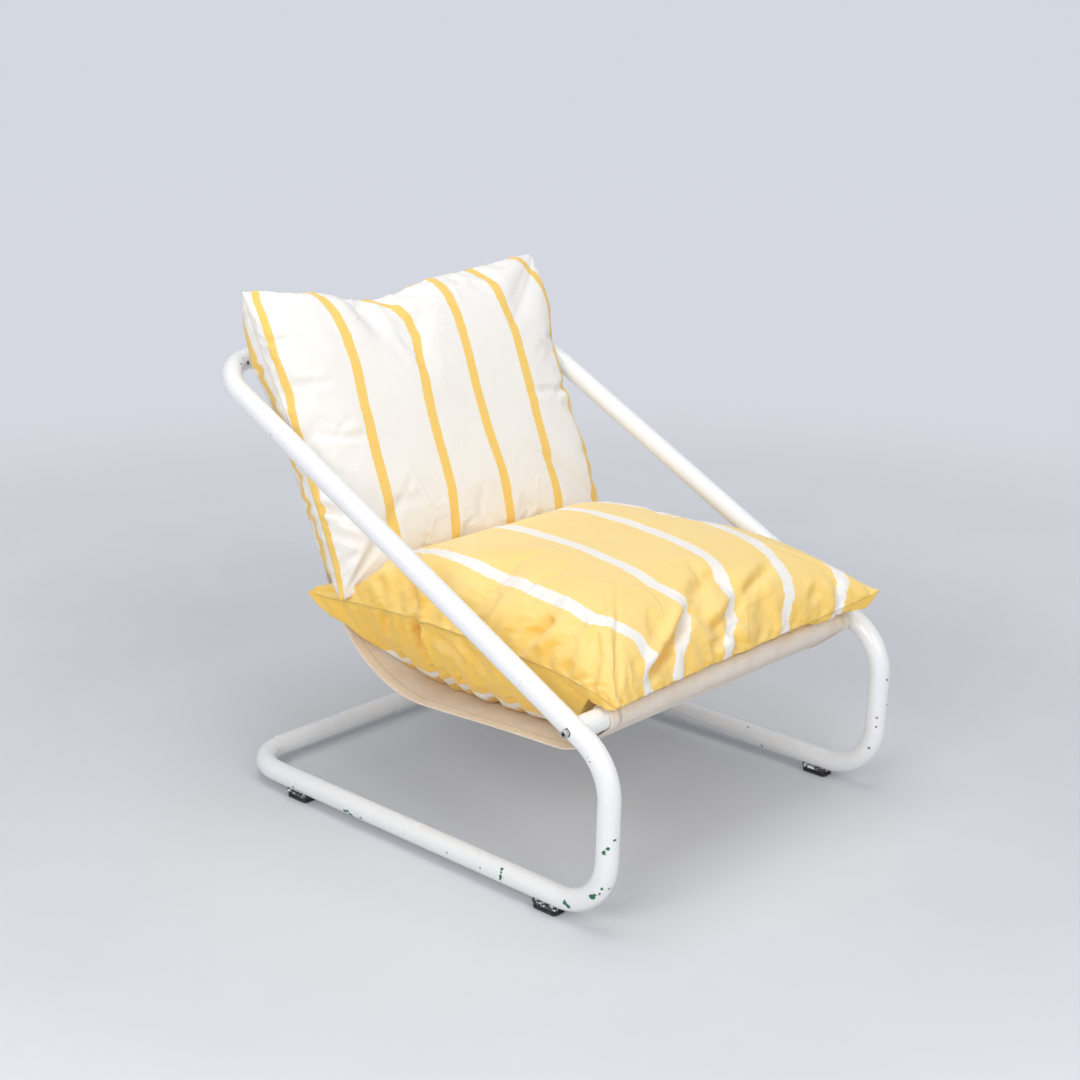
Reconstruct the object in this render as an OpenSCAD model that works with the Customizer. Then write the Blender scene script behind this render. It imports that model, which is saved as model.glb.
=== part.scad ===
// Cantilever lounge chair: a bent steel tube frame in two halves, a canvas sling
// stretched between the front rail and the top rail, and two loose filled cushions.
// Seen from the side, y runs from the front corner of the runners to the back
// and z up from the floor. The finished chair stands centred on the origin, facing -y.

/* [Frame tube] */
// Outer diameter of the steel tube
tube_d = 30; // [28:0.5:32]
// Wall thickness of the steel tube
tube_wall = 2; // [1.5:0.1:2.5]
// Overall width over the two runners
frame_w = 626; // [616:1:660]
// Bend radius from the runner to the upright, on the centreline
low_bend_r = 78; // [60:1:90]
// Bend radius from the upright to the arm, on the centreline
arm_bend_r = 80; // [60:1:84]
// Bend radius at the two ends of the top rail, on the centreline
top_bend_r = 70; // [60:1:75]
// Bend radius at the two rear corners on the floor, on the centreline
rear_bend_r = 70; // [55:1:90]

/* [Frame side view] */
// Length of the runners, from the front corner to the rear floor rail
runner_len = 701; // [640:1:760]
// Height of the upright between the runner and the arm, corner to corner
upright_h = 204; // [195:1:225]
// How far the upright leans forward over its height
upright_lean = 4; // [0:1:8]
// Slope of the arms above the floor, in degrees
arm_slope = 27; // [26:0.5:28]
// Length of the arms, from the front corner to the middle of the top rail
arm_len = 841; // [825:1:860]

/* [Frame joint] */
// Distance of the tube joint from the front corner, along the arm
joint_at = 157; // [130:1:190]
// Hairline left between the two tube ends
joint_gap = 0.3; // [0.1:0.1:1]
// How far the spigot reaches up the arm past the joint
spigot_up = 70; // [40:1:110]
// How far the spigot reaches down the arm past the joint
spigot_down = 100; // [50:1:102]
// Wall thickness of the spigot tube
spigot_wall = 1.5; // [1:0.1:2]
// Clearance round the spigot and the rail plugs inside the tube
bore_clearance = 0.1; // [0.05:0.05:0.3]

/* [Front rail] */
// Distance of the front rail from the front corner, along the arm
rail_at = 67; // [62:1:75]
// Clearance between the coped rail end and the arm
cope_gap = 0.2; // [0.1:0.1:0.5]
// Flat trimmed off the sharp tips of the coped end
cope_trim = 5; // [3:0.5:8]
// Length of the threaded plug in each end of the rail
plug_len = 22; // [16:1:40]
// Shank diameter of the rail bolts
bolt_d = 6; // [5:0.5:8]
// Length of the rail bolts under the head
bolt_len = 45; // [40:1:60]
// Head diameter of the rail bolts
bolt_head_d = 10; // [9:0.5:13]
// Head height of the rail bolts
bolt_head_h = 6; // [4:0.5:8]
// Width across flats of the hexagon socket
socket_af = 5; // [3:0.5:6]
// Depth of the hexagon socket
socket_depth = 3; // [1:0.5:3.5]
// Clearance of the bolt holes in the tubes, on the diameter
bolt_hole_clearance = 0.6; // [0.4:0.1:1]
// Clearance of the bolt in the threaded plug, on the diameter
plug_clearance = 0.1; // [0.05:0.05:0.3]

/* [Feet] */
// Gap between the floor and the runners
foot_h = 10; // [8:0.5:14]
// Length of each rubber pad along the runner
foot_len = 40; // [30:1:60]
// Width of each rubber pad
foot_w = 22; // [18:1:26]
// Corner radius of the pads, seen from below
foot_corner_r = 5; // [2:0.5:8]
// Depth of the groove between the pad's sole and its upper part
foot_groove = 1; // [0.5:0.1:1.5]
// Thickness of the welded plate between the pad and the tube
plate_t = 1.6; // [1:0.1:2.5]
// Rim of the welded plate past the pad, all round
plate_rim = 1.5; // [0:0.5:3]
// How far the plate cradles the tube above its underside
plate_cradle = 2; // [1:0.5:4]
// Distance of the front pads from the front corner
front_foot_at = 94; // [85:1:130]
// Distance of the rear pads from the front corner
rear_foot_at = 577; // [540:1:600]
// Shank diameter of the pad screws
foot_screw_d = 3.5; // [3:0.5:4.5]
// Length of the pad screws under the head
foot_screw_len = 11; // [9:0.5:14]
// Head diameter of the pad screws
foot_screw_head_d = 7; // [6:0.5:9]
// Head height of the pad screws
foot_screw_head_h = 2; // [1.5:0.5:2.5]
// Depth of the counterbore under each pad
foot_bore_depth = 4; // [3.5:0.5:5]
// Clearance of the pad screws in the pads and plates, on the diameter
foot_screw_clearance = 0.4; // [0.2:0.1:0.8]

/* [Sling] */
// Thickness of the canvas
cloth_t = 1.2; // [0.8:0.1:2]
// Clearance between the canvas sleeves and the rails
sleeve_gap = 0.3; // [0.2:0.1:1]
// Bare length of the front rail beside the canvas, mean of its two ends
sling_front_bare = 20; // [15:1:40]
// How far the canvas has crept to the right on the front rail
sling_shift = 15; // [0:1:15]
// Space beside the canvas where the seat turns up into the back, mean of both sides
sling_bend_bare = 32; // [28:1:45]
// Space between the canvas and the inside of each arm at the top rail
sling_top_bare = 58; // [56:1:80]
// Fall of the canvas behind the front rail, in degrees
sling_front_fall = 40; // [36:1:44]
// Fall of the seat part towards the back, in degrees
sling_seat_fall = 2.5; // [2:0.5:4]
// Slope of the back part, in degrees
sling_back_slope = 61.5; // [61:0.5:63]
// Drop of the seat part below the middle of the front rail
sling_drop = 57; // [54:1:60]
// Radius of the canvas where the front fall turns into the seat
sling_front_r = 90; // [60:1:110]
// Radius of the canvas where the seat turns into the back
sling_rear_r = 195; // [150:1:200]
// Width of the folded hem along each side
hem_w = 20; // [12:1:30]
// Length of the lap that closes each sleeve
lap_len = 26; // [15:1:35]

/* [Seat cushion] */
// How far each front corner reaches past the inside of its arm
seat_front_over = 2; // [0:1:5]
// Space between each rear corner and the inside of its arm
seat_rear_side_gap = 8; // [5:1:20]
// How far the sides draw in between the corners
seat_side_draw = 27; // [22:1:40]
// Depth of the cushion from front corner to rear corner
seat_depth = 583; // [575:1:585]
// How far the front corners reach over the front corner of the frame
seat_front_at = 2; // [0:1:10]
// How far the front seam draws in between its corners
seat_front_draw = 32; // [28:1:36]
// How far the rear seam draws in between its corners
seat_rear_draw = 47; // [46:1:48]
// Height of the seam over the middle of the front rail, at the corners
seat_seam_h = 40; // [34:1:44]
// How far the front seam hangs lower between its corners
seat_front_sag = 22; // [18:1:24]
// How far the side seams hang lower between the corners
seat_side_sag = 12; // [6:1:16]
// Crown of the cushion above its seam
seat_crown = 106; // [90:1:120]
// Belly of the cushion below its seam
seat_belly = 116; // [112:1:125]
// Drop of the rear seam, along its middle
seat_rear_drop = 12; // [10:1:14]
// How much less the two rear ears drop
seat_ear_lift = 9; // [4:1:10]
// Height over the front rail of the part pressed flat under the back cushion
seat_tuck_h = 38; // [37:0.5:38]
// Sideways shift of the seat cushion to the right
seat_shift = 3; // [0:1:5]
// How much higher than the left the right front corner sits
seat_tilt = 10; // [0:1:12]

/* [Back cushion] */
// How far each corner reaches past the inside of its arm
back_side_over = 7; // [0:1:9]
// How far the sides draw in beside the arms
back_side_draw = 19; // [18:1:30]
// Height of the cover along its lean, corner to corner
back_h = 452; // [420:1:470]
// How far the top seam draws in between its corners
back_top_draw = 22; // [10:1:35]
// Depth of the dent in the middle of the top seam
back_top_dent = 18; // [0:1:25]
// Lean of the cushion above the floor, in degrees
back_lean = 65; // [64:0.5:66]
// Place of its lower seam, from the front corner of the frame
back_foot_at = 511; // [508:1:516]
// Height of its lower seam over the middle of the front rail
back_foot_h = 51; // [51:0.5:54]
// Bulge of the front face past the seam
back_front_bulge = 40; // [25:1:44]
// Bulge of the rear face past the seam, before it meets the sling
back_rear_bulge = 64; // [55:1:75]
// Sideways shift of the back cushion to the right
back_shift = 8; // [0:1:8]

/* [Cushion covers and zips] */
// Thickness of the cushion covers
cover_t = 1.2; // [0.8:0.1:2]
// Depth of the seam allowance inside the cover's edge
seam_allowance = 4; // [3:0.5:6]
// Clearance between the filling and its cover
fill_gap = 0.5; // [0.3:0.1:1]
// Clearance between the cushions and what carries them
cushion_gap = 0.4; // [0.3:0.1:0.8]
// Length of the seat cover's zip
seat_zip_len = 380; // [300:1:400]
// Length of the back cover's zip
back_zip_len = 490; // [420:1:495]
// Sideways shift of the back cushion's zip to the left of the cushion's middle
back_zip_shift = 10; // [5:1:15]
// Thickness of the zip tape
tape_t = 1.2; // [0.8:0.1:1.5]
// Width of the zip tape outside the seam
tape_w = 4; // [3:0.5:5]
// Thickness of the row of zip teeth
teeth_t = 2.6; // [2:0.1:3]
// Width of the row of zip teeth
teeth_w = 4; // [3:0.5:5]
// Length of one zip tooth and its space
tooth_pitch = 4; // [3:0.5:6]
// Length of the stops at the zip's ends
stop_len = 3; // [2:0.5:5]
// Length of the zip sliders
slider_len = 14; // [10:1:18]
// Wall thickness of the zip sliders
slider_wall = 1.1; // [0.8:0.1:1.5]
// Running clearance of the sliders on the teeth
slider_gap = 0.35; // [0.3:0.05:0.5]

/* [Hidden] */
$fn = 48;
// How far a cut runs past what it cuts
overrun = 1;
// Length and depth of the hairline laps where two lengths meet
ring_len = 1.2;
ring_lap = 0.05;

// A direction in the side view, and the heading from one point to another
function heading(a) = [cos(a), sin(a)];
function angle_to(p, q) = atan2(q[1] - p[1], q[0] - p[0]);
function dist(p, q) = norm(q - p);
// Where two lines in the side view cross, each given by a point and a heading
function cross_point(p, a, q, b) =
    p + heading(a) * (((q - p)[0] * sin(b) - (q - p)[1] * cos(b)) / sin(b - a));

tube_r = tube_d / 2;
bore_d = tube_d - 2 * tube_wall;
half_w = frame_w / 2 - tube_r;
inside_half_w = frame_w / 2 - tube_d;
runner_z = foot_h + tube_r;

// Corners of the frame's centreline in the side view
low_corner = [0, runner_z];
arm_corner = [-upright_lean, runner_z + upright_h];
top_point = arm_corner + arm_len * heading(arm_slope);
lean_angle = atan2(upright_lean, upright_h);
low_tangent = low_bend_r * tan((90 - lean_angle) / 2);
arm_tangent = arm_bend_r * tan((90 + lean_angle - arm_slope) / 2);
rail_point = arm_corner + rail_at * heading(arm_slope);

// The furthest points to the front and the back, which centre the chair
arm_bend_middle = arm_corner - arm_tangent * heading(90 + lean_angle) + arm_bend_r * heading(lean_angle);
front_y = arm_bend_middle[0] - arm_bend_r - tube_r;
back_y = top_point[0] + tube_r + sleeve_gap + cloth_t;
middle_y = (front_y + back_y) / 2;

// Widths that follow the inside of the frame
sling_front_w = 2 * (inside_half_w - sling_front_bare);
sling_bend_w = 2 * (inside_half_w - sling_bend_bare);
sling_top_w = 2 * (inside_half_w - sling_top_bare);
seat_front_half_w = inside_half_w + seat_front_over;
seat_rear_half_w = inside_half_w - seat_rear_side_gap;
back_half_w = inside_half_w + back_side_over;

// Side view of the sling's middle line: front tangent, seat, back, top tangent
sleeve_r = tube_r + sleeve_gap;
cloth_r = sleeve_r + cloth_t / 2;
sling_start = rail_point - cloth_r * heading(90 - sling_front_fall);
sling_end = top_point + cloth_r * heading(90 + sling_back_slope);
seat_line_point = rail_point - [0, sling_drop];
sling_low_front = cross_point(sling_start, -sling_front_fall, seat_line_point, -sling_seat_fall);
sling_low_rear = cross_point(seat_line_point, -sling_seat_fall, sling_end, sling_back_slope);
front_turn = sling_front_fall - sling_seat_fall;
rear_turn = sling_seat_fall + sling_back_slope;
front_tangent = sling_front_r * tan(front_turn / 2);
rear_tangent = sling_rear_r * tan(rear_turn / 2);
front_arc_middle = sling_low_front - front_tangent * heading(-sling_front_fall)
    + sling_front_r * heading(90 - sling_front_fall);
rear_arc_middle = sling_low_rear - rear_tangent * heading(-sling_seat_fall)
    + sling_rear_r * heading(90 - sling_seat_fall);
// Where each part of the sling ends, seen along y
front_arc_from = sling_low_front - front_tangent * heading(-sling_front_fall);
front_arc_to = sling_low_front + front_tangent * heading(-sling_seat_fall);
rear_arc_from = sling_low_rear - rear_tangent * heading(-sling_seat_fall);
rear_arc_to = sling_low_rear + rear_tangent * heading(sling_back_slope);

// Slope and height of the sling's middle line at a place y
function arc_slope(y, middle, r) = asin((y - middle[0]) / r);
function sling_slope(y) =
    y < front_arc_from[0] ? -sling_front_fall
    : y < front_arc_to[0] ? arc_slope(y, front_arc_middle, sling_front_r)
    : y < rear_arc_from[0] ? -sling_seat_fall
    : y < rear_arc_to[0] ? arc_slope(y, rear_arc_middle, sling_rear_r)
    : sling_back_slope;
function sling_z(y) =
    y < front_arc_from[0] ? sling_start[1] - (y - sling_start[0]) * tan(sling_front_fall)
    : y < front_arc_to[0] ? front_arc_middle[1] - sling_front_r * cos(sling_slope(y))
    : y < rear_arc_from[0] ? front_arc_to[1] - (y - front_arc_to[0]) * tan(sling_seat_fall)
    : y < rear_arc_to[0] ? rear_arc_middle[1] - sling_rear_r * cos(sling_slope(y))
    : rear_arc_to[1] + (y - rear_arc_to[0]) * tan(sling_back_slope);

// Points of the seat cushion, pulled in by an inset for the inside of its cover.
// Both cushions swell like a pillow: the swell share falls to nothing at the seams.
side_power = 4;
flat_share = 0.85;
function swell(u, v, across, along) = sqrt((1 - pow(abs(u), across)) * (1 - pow(abs(v), along)));
function bow(u) = 1 - pow(abs(u), side_power);
// A bow that is straight along the middle, where a zip is sewn in
function flat_bow(u) = 1 - pow(max(0, (abs(u) - flat_share) / (1 - flat_share)), 3);

seat_z = rail_point[1] + seat_seam_h;
seat_rear_at = seat_front_at + seat_depth;
seat_zip_y = seat_rear_at - seat_rear_draw;
seat_zip_z = seat_z - seat_rear_drop;
rail_roof = rail_point[1] + sleeve_r + cloth_t;
roof_half = sleeve_r + cloth_t + 2 * seam_allowance;
roof_fall = 1.5;
// The filling's corners are rounder than the cover's, so they stay further inside,
// and furthest in the two ears at the rear
corner_insets = 3.5;
ear_insets = 9;
ear_power = 8;
function drawn_in(draw, bow, inset, insets = corner_insets) =
    inset * insets + (draw - inset * (insets - 1)) * bow;
function seat_x(u, v, inset) =
    seat_shift + u * (seat_front_half_w * (1 - v) / 2 + seat_rear_half_w * (1 + v) / 2
        - drawn_in(seat_side_draw, bow(v), inset) * u * u);
function seat_y(u, v, inset) =
    (seat_front_at + drawn_in(seat_front_draw, bow(u), inset)) * (1 - v) / 2
    + (seat_rear_at - drawn_in(seat_rear_draw, flat_bow(u), inset, ear_insets)) * (1 + v) / 2;
function seat_seam(u, v) =
    seat_z + seat_tilt / 4 * u * (1 - v)
    - (seat_rear_drop - seat_ear_lift * pow(abs(u), ear_power)) * (1 + v) / 2
    - seat_side_sag * (1 - v * v)
    - seat_front_sag * bow(u) * (1 - v) / 2 * pow(v, 4);
function seat_roof(y) =
    rail_roof + cushion_gap * 4 - roof_fall * max(0, y - rail_point[0] - roof_half);
sling_share = 0.95;
function seat_floor(u, y) = abs(u) < sling_share
    ? max(seat_roof(y), sling_z(y) + (cloth_t / 2 + cushion_gap) / cos(sling_slope(y)))
    : seat_roof(y);
seat_fullness = [4.5, 3.2];
function seat_swell(u, v) = swell(u, v, seat_fullness[0], seat_fullness[1]);
function seat_full_top(u, v, inset) = seat_seam(u, v) + (seat_crown - inset) * seat_swell(u, v);
// Behind the step the top is pressed flat under the back cushion
seat_step_share = 0.894;
function seat_lid(v, inset) =
    rail_point[1] + ((1 + v) / 2 < seat_step_share ? seat_seam_h + seat_crown : seat_tuck_h - inset);
function seat_top(u, v, inset) = min(seat_full_top(u, v, inset), seat_lid(v, inset));
function seat_rim(u, v, floor_z, inset) =
    max(min(seat_seam(u, v), seat_lid(v, inset)), floor_z + inset);
function seat_bottom(u, v, floor_z, inset) =
    max(seat_seam(u, v) - (seat_belly - inset) * seat_swell(u, v), floor_z + inset);
function seat_point(u, v, side, inset, edge) =
    let (floor_z = seat_floor(u, seat_y(u, v, 0)))
    [seat_x(u, v, edge), seat_y(u, v, edge),
        abs(u) == 1 || abs(v) == 1 ? seat_rim(u, v, floor_z, inset)
        : side > 0 ? seat_top(u, v, inset) : seat_bottom(u, v, floor_z, inset)];

// Points of the back cushion, in a leaning frame: along the lean, and square to it
back_z = rail_point[1] + back_foot_h;
sling_face = sling_end + cloth_t / 2 * heading(90 + sling_back_slope);
function back_room(s) =
    (sling_face - [back_foot_at, back_z] - s * heading(back_lean)) * heading(sling_back_slope - 90)
    / cos(back_lean - sling_back_slope) - cushion_gap;
// The sides are drawn in most a little below the middle, between the arms
waist_at = -0.3;
waist_reach = 0.85;
function waist(v) = max(0, bow((v - waist_at) / waist_reach));
dent_at = -0.05;
dent_reach = 0.5;
function dent(u) = pow(max(0, 1 - pow((u - dent_at) / dent_reach, 2)), 2);
function back_top(u) = back_h - back_top_draw * (1 - u * u) - back_top_dent * dent(u);
back_front_fullness = [8, 3.2];
back_rear_fullness = [5, 2];
function back_point(u, v, side, inset, edge) =
    let (
        x = back_shift + u * (back_half_w - back_side_draw * waist(v) * u * u - edge),
        s = edge * (1 - v) / 2 + (back_top(u) - edge) * (1 + v) / 2,
        full = side > 0 ? back_front_fullness : back_rear_fullness,
        out = swell(u, v, full[0], full[1]),
        n = side > 0 ? (back_front_bulge - inset) * out
            : -min((back_rear_bulge - inset) * out, back_room(s) - inset)
    )
    [x, s, n];

// A pillow made of two faces that share one seam, from a list of places each way.
// The triangles at the corners are turned so that each touches the inside of the face.
function pillow_rim(i, j, nu, nv) = i == 0 || j == 0 || i == nu || j == nv;
function top_index(i, j, nv) = i * (nv + 1) + j;
function bottom_index(i, j, nu, nv) =
    pillow_rim(i, j, nu, nv) ? top_index(i, j, nv)
    : (nu + 1) * (nv + 1) + (i - 1) * (nv - 1) + j - 1;
function turned(i, j, nu, nv) = (i < nu / 2) != (j < nv / 2);
function quad(a, b, c, d, turn) = turn ? [[a, b, d], [b, c, d]] : [[a, b, c], [a, c, d]];
function pillow_faces(nu, nv) = [
    for (i = [0:nu - 1], j = [0:nv - 1])
        each quad(top_index(i, j, nv), top_index(i, j + 1, nv), top_index(i + 1, j + 1, nv),
            top_index(i + 1, j, nv), turned(i, j, nu, nv)),
    for (i = [0:nu - 1], j = [0:nv - 1])
        each quad(bottom_index(i, j, nu, nv), bottom_index(i + 1, j, nu, nv),
            bottom_index(i + 1, j + 1, nu, nv), bottom_index(i, j + 1, nu, nv), turned(i, j, nu, nv))
];
// Places across a pillow, closer together towards its seams
function seam_places(n) = [for (i = [0:n]) i == 0 ? -1 : i == n ? 1 : sin(90 * (2 * i / n - 1))];
seat_across = seam_places(16);
seat_along_shares = [0, 0.012, 0.04, 0.08, 0.13, 0.2, 0.29, 0.4, 0.52, 0.64, 0.74, 0.82,
    0.883, 0.905, 0.93, 0.96, 0.985, 1];
seat_along = [for (s = seat_along_shares) 2 * s - 1];
back_across = seam_places(14);
back_along = seam_places(14);

// Turns the side view, drawn flat as y and z, upright: the third way becomes x
module side_view() rotate([90, 0, 90]) children();
module both_sides() {
    children();
    mirror([1, 0, 0]) children();
}
module centred() translate([0, -middle_y, 0]) children();
// A straight tube along +z
module tube(len, outer, inner) {
    difference() {
        cylinder(d = outer, h = len);
        translate([0, 0, -overrun]) cylinder(d = inner, h = len + 2 * overrun);
    }
}
// A hairline ring that laps two lengths of frame tube, so that they join as one body
module lap_ring() {
    translate([0, 0, -ring_len / 2]) tube(ring_len, tube_d + 2 * ring_lap, bore_d - 2 * ring_lap);
}
// Frame tube is laid as a bender feeds it: along +z, turning towards +x.
// The children of each length start where it ends.
module run(len) {
    tube(len, tube_d, bore_d);
    if ($children > 0) translate([0, 0, len]) {
        lap_ring();
        children();
    }
}
module bend(r, turn) {
    translate([r, 0, 0]) rotate([90, 0, 180]) rotate_extrude(angle = turn)
        translate([r, 0]) difference() {
            circle(d = tube_d);
            circle(d = bore_d);
        }
    translate([r, 0, 0]) rotate([0, turn, 0]) translate([-r, 0, 0]) {
        lap_ring();
        children();
    }
}
// Both halves of a bent frame, each starting at the middle and heading outwards
module from_middle() both_sides() rotate([0, 90, 0]) rotate([0, 0, -90]) children();
// Along the middle of an arm, starting at its front corner
module along_arm(side) {
    translate([side * half_w, arm_corner[0], arm_corner[1]]) rotate([arm_slope - 90, 0, 0])
        children();
}
// A cross hole at a point of the side view, through everything there
module cross_hole(p, d) {
    side_view() translate([p[0], p[1], -frame_w / 2 - overrun])
        cylinder(d = d, h = frame_w + 2 * overrun);
}

foot_places = [for (x = [-half_w, half_w], y = [front_foot_at, rear_foot_at]) [x, y, 0]];

// Rear floor rail, runners, uprights and the first stretch of the arms, in one bent tube
module lower_frame() color("white") centred() difference() {
    translate([0, runner_len, runner_z]) from_middle()
        run(half_w - rear_bend_r) bend(rear_bend_r, 90) rotate([0, 0, -90])
        run(runner_len - rear_bend_r - low_tangent) bend(low_bend_r, 90 - lean_angle)
        run(dist(low_corner, arm_corner) - low_tangent - arm_tangent)
        bend(arm_bend_r, 90 + lean_angle - arm_slope)
        run(joint_at - joint_gap / 2 - arm_tangent);
    cross_hole(rail_point, bolt_d + bolt_hole_clearance);
    for (p = foot_places) translate(p) cylinder(d = foot_screw_d + plug_clearance, h = runner_z);
}

// The upper frame lies in one plane, sloping up from the joints to the top rail
module upper_frame() color("white") centred()
    translate([0, arm_corner[0], arm_corner[1]]) rotate([arm_slope, 0, 0])
        translate([0, arm_len, 0]) from_middle()
            run(half_w - top_bend_r) bend(top_bend_r, 90)
            run(arm_len - top_bend_r - joint_at - joint_gap / 2);

// The spigot is held in the upper frame's arm; the rail bolt pins it in the lower one
spigot_d = bore_d - 2 * bore_clearance;
module joint_spigot(side) color("silver") centred() difference() {
    along_arm(side) translate([0, 0, joint_at - spigot_down])
        tube(spigot_down + spigot_up, spigot_d, spigot_d - 2 * spigot_wall);
    cross_hole(rail_point, bolt_d + bolt_hole_clearance);
}
module left_joint_spigot() joint_spigot(-1);
module right_joint_spigot() joint_spigot(1);

// The rail's ends are coped to seat on the round arms
module front_rail() color("white") centred() difference() {
    translate([-(half_w - cope_trim), rail_point[0], rail_point[1]]) rotate([0, 90, 0])
        tube(2 * (half_w - cope_trim), tube_d, bore_d);
    for (side = [-1, 1]) along_arm(side) cylinder(d = tube_d + 2 * cope_gap, h = joint_at);
}

// Solid plug with a tapped hole for the rail bolt
plug_face = half_w - tube_r - cope_gap;
module rail_plug(side) color("dimgray") centred()
    translate([side * (plug_face - plug_len / 2), rail_point[0], rail_point[1]]) rotate([0, 90, 0])
        difference() {
            cylinder(d = bore_d - 2 * bore_clearance, h = plug_len, center = true);
            cylinder(d = bolt_d + plug_clearance, h = plug_len + 2 * overrun, center = true);
        }
module left_rail_plug() rail_plug(-1);
module right_rail_plug() rail_plug(1);

// Cap screw with a rounded head edge and a hexagon socket
head_edge_r = bolt_head_h / 8;
module rail_bolt() color("silver") centred()
    translate([half_w + tube_r, rail_point[0], rail_point[1]]) rotate([0, 90, 0]) {
        translate([0, 0, -bolt_len]) cylinder(d = bolt_d, h = bolt_len);
        difference() {
            rotate_extrude() {
                square([bolt_head_d / 2, bolt_head_h - head_edge_r]);
                square([bolt_head_d / 2 - head_edge_r, bolt_head_h]);
                translate([bolt_head_d / 2 - head_edge_r, bolt_head_h - head_edge_r])
                    circle(r = head_edge_r);
            }
            translate([0, 0, bolt_head_h - socket_depth])
                cylinder(d = socket_af / cos(30), h = socket_depth + overrun, $fn = 6);
        }
    }
module left_rail_bolt() mirror([1, 0, 0]) rail_bolt();
module right_rail_bolt() rail_bolt();

// Rounded rectangle, centred, for the feet and their plates
module pad_outline(len, width, r) {
    square([width, len - 2 * r], center = true);
    square([width - 2 * r, len], center = true);
    for (x = [-1, 1], y = [-1, 1])
        translate([x * (width / 2 - r), y * (len / 2 - r)]) circle(r = r);
}
pad_h = foot_h - plate_t;
screw_hole_d = foot_screw_d + foot_screw_clearance;
// Thin steel plates welded under the runners, each cradling its tube
module foot_plates() color("white") centred() for (p = foot_places) translate(p) difference() {
    translate([0, 0, pad_h]) linear_extrude(plate_t + plate_cradle)
        pad_outline(foot_len + 2 * plate_rim, foot_w + 2 * plate_rim, foot_corner_r + plate_rim);
    translate([0, -foot_len, runner_z]) rotate([-90, 0, 0])
        cylinder(d = tube_d, h = 2 * foot_len);
    cylinder(d = screw_hole_d, h = runner_z);
}
// Rubber pad with a groove round its sole and a stepped screw hole
module foot(x, y) color("#2b2b2d") centred() translate([x, y, 0]) difference() {
    union() {
        linear_extrude(pad_h / 2) pad_outline(foot_len, foot_w, foot_corner_r);
        linear_extrude(pad_h) pad_outline(foot_len - 2 * foot_groove, foot_w - 2 * foot_groove,
            foot_corner_r - foot_groove);
        translate([0, 0, pad_h / 2 + foot_groove])
            linear_extrude(pad_h / 2 - foot_groove) pad_outline(foot_len, foot_w, foot_corner_r);
    }
    translate([0, 0, -overrun]) cylinder(d = screw_hole_d, h = pad_h + 2 * overrun);
    translate([0, 0, -overrun])
        cylinder(d = foot_screw_head_d + foot_screw_clearance, h = foot_bore_depth + overrun);
}
module front_left_foot() foot(-half_w, front_foot_at);
module front_right_foot() foot(half_w, front_foot_at);
module rear_left_foot() foot(-half_w, rear_foot_at);
module rear_right_foot() foot(half_w, rear_foot_at);
module foot_screws() color("gray") centred() for (p = foot_places) translate(p) {
    translate([0, 0, foot_bore_depth - foot_screw_head_h])
        cylinder(d = foot_screw_head_d, h = foot_screw_head_h);
    translate([0, 0, foot_bore_depth]) cylinder(d = foot_screw_d, h = foot_screw_len);
}

// A strip of cloth in the side view, with its own thickness above and below the middle line
module strip(p, q, up, down) {
    translate(p) rotate(angle_to(p, q)) translate([0, -down]) square([dist(p, q), up + down]);
}
module arc_strip(middle, r, from, turn, up, down) {
    reach = (r + down) * 2;
    translate(middle) intersection() {
        difference() {
            circle(r = r + down);
            circle(r = r - up);
        }
        polygon([[0, 0], reach * heading(from), reach * heading(from + turn / 2),
            reach * heading(from + turn)]);
    }
}
module lap_strip(p, a, up, down) {
    strip(p - ring_len / 2 * heading(a), p + ring_len / 2 * heading(a), up + ring_lap, down + ring_lap);
}
module sling_path(up, down) {
    strip(sling_start, front_arc_from, up, down);
    lap_strip(front_arc_from, -sling_front_fall, up, down);
    arc_strip(front_arc_middle, sling_front_r, -90 - sling_front_fall, front_turn, up, down);
    lap_strip(front_arc_to, -sling_seat_fall, up, down);
    strip(front_arc_to, rear_arc_from, up, down);
    lap_strip(rear_arc_from, -sling_seat_fall, up, down);
    arc_strip(rear_arc_middle, sling_rear_r, -90 - sling_seat_fall, rear_turn, up, down);
    lap_strip(rear_arc_to, sling_back_slope, up, down);
    strip(rear_arc_to, sling_end, up, down);
}
module sleeve_ring(p) translate(p) difference() {
    circle(r = sleeve_r + cloth_t);
    circle(r = sleeve_r);
}
// Outlines of the cloth: the seat part from above, the back part from the front
bend_shift = sling_shift - (sling_front_w - sling_bend_w) / 2;
module sling_plan(edge) {
    half_front = sling_front_w / 2 - edge;
    half_bend = sling_bend_w / 2 - edge;
    polygon([
        [sling_shift - half_front, front_y], [sling_shift + half_front, front_y],
        [sling_shift + half_front, rail_point[0]], [bend_shift + half_bend, rear_arc_to[0]],
        [bend_shift + half_bend, back_y], [bend_shift - half_bend, back_y],
        [bend_shift - half_bend, rear_arc_to[0]], [sling_shift - half_front, rail_point[0]]
    ]);
}
module sling_front_view(edge) {
    high = top_point[1] + tube_d;
    half_front = sling_front_w / 2 - edge;
    half_bend = sling_bend_w / 2 - edge;
    half_top = sling_top_w / 2 - edge;
    polygon([
        [sling_shift - half_front, 0], [sling_shift + half_front, 0],
        [sling_shift + half_front, rear_arc_to[1]], [bend_shift + half_bend, rear_arc_to[1]],
        [half_top, high], [-half_top, high], [bend_shift - half_bend, rear_arc_to[1]],
        [sling_shift - half_front, rear_arc_to[1]]
    ]);
}
module sling_cut(edge) intersection() {
    linear_extrude(top_point[1] + tube_d) sling_plan(edge);
    translate([0, back_y, 0]) rotate([90, 0, 0])
        linear_extrude(back_y - front_y) sling_front_view(edge);
}
module cloth_block(up, down) {
    translate([-frame_w / 2, 0, 0]) side_view() linear_extrude(frame_w) children();
}
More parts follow.
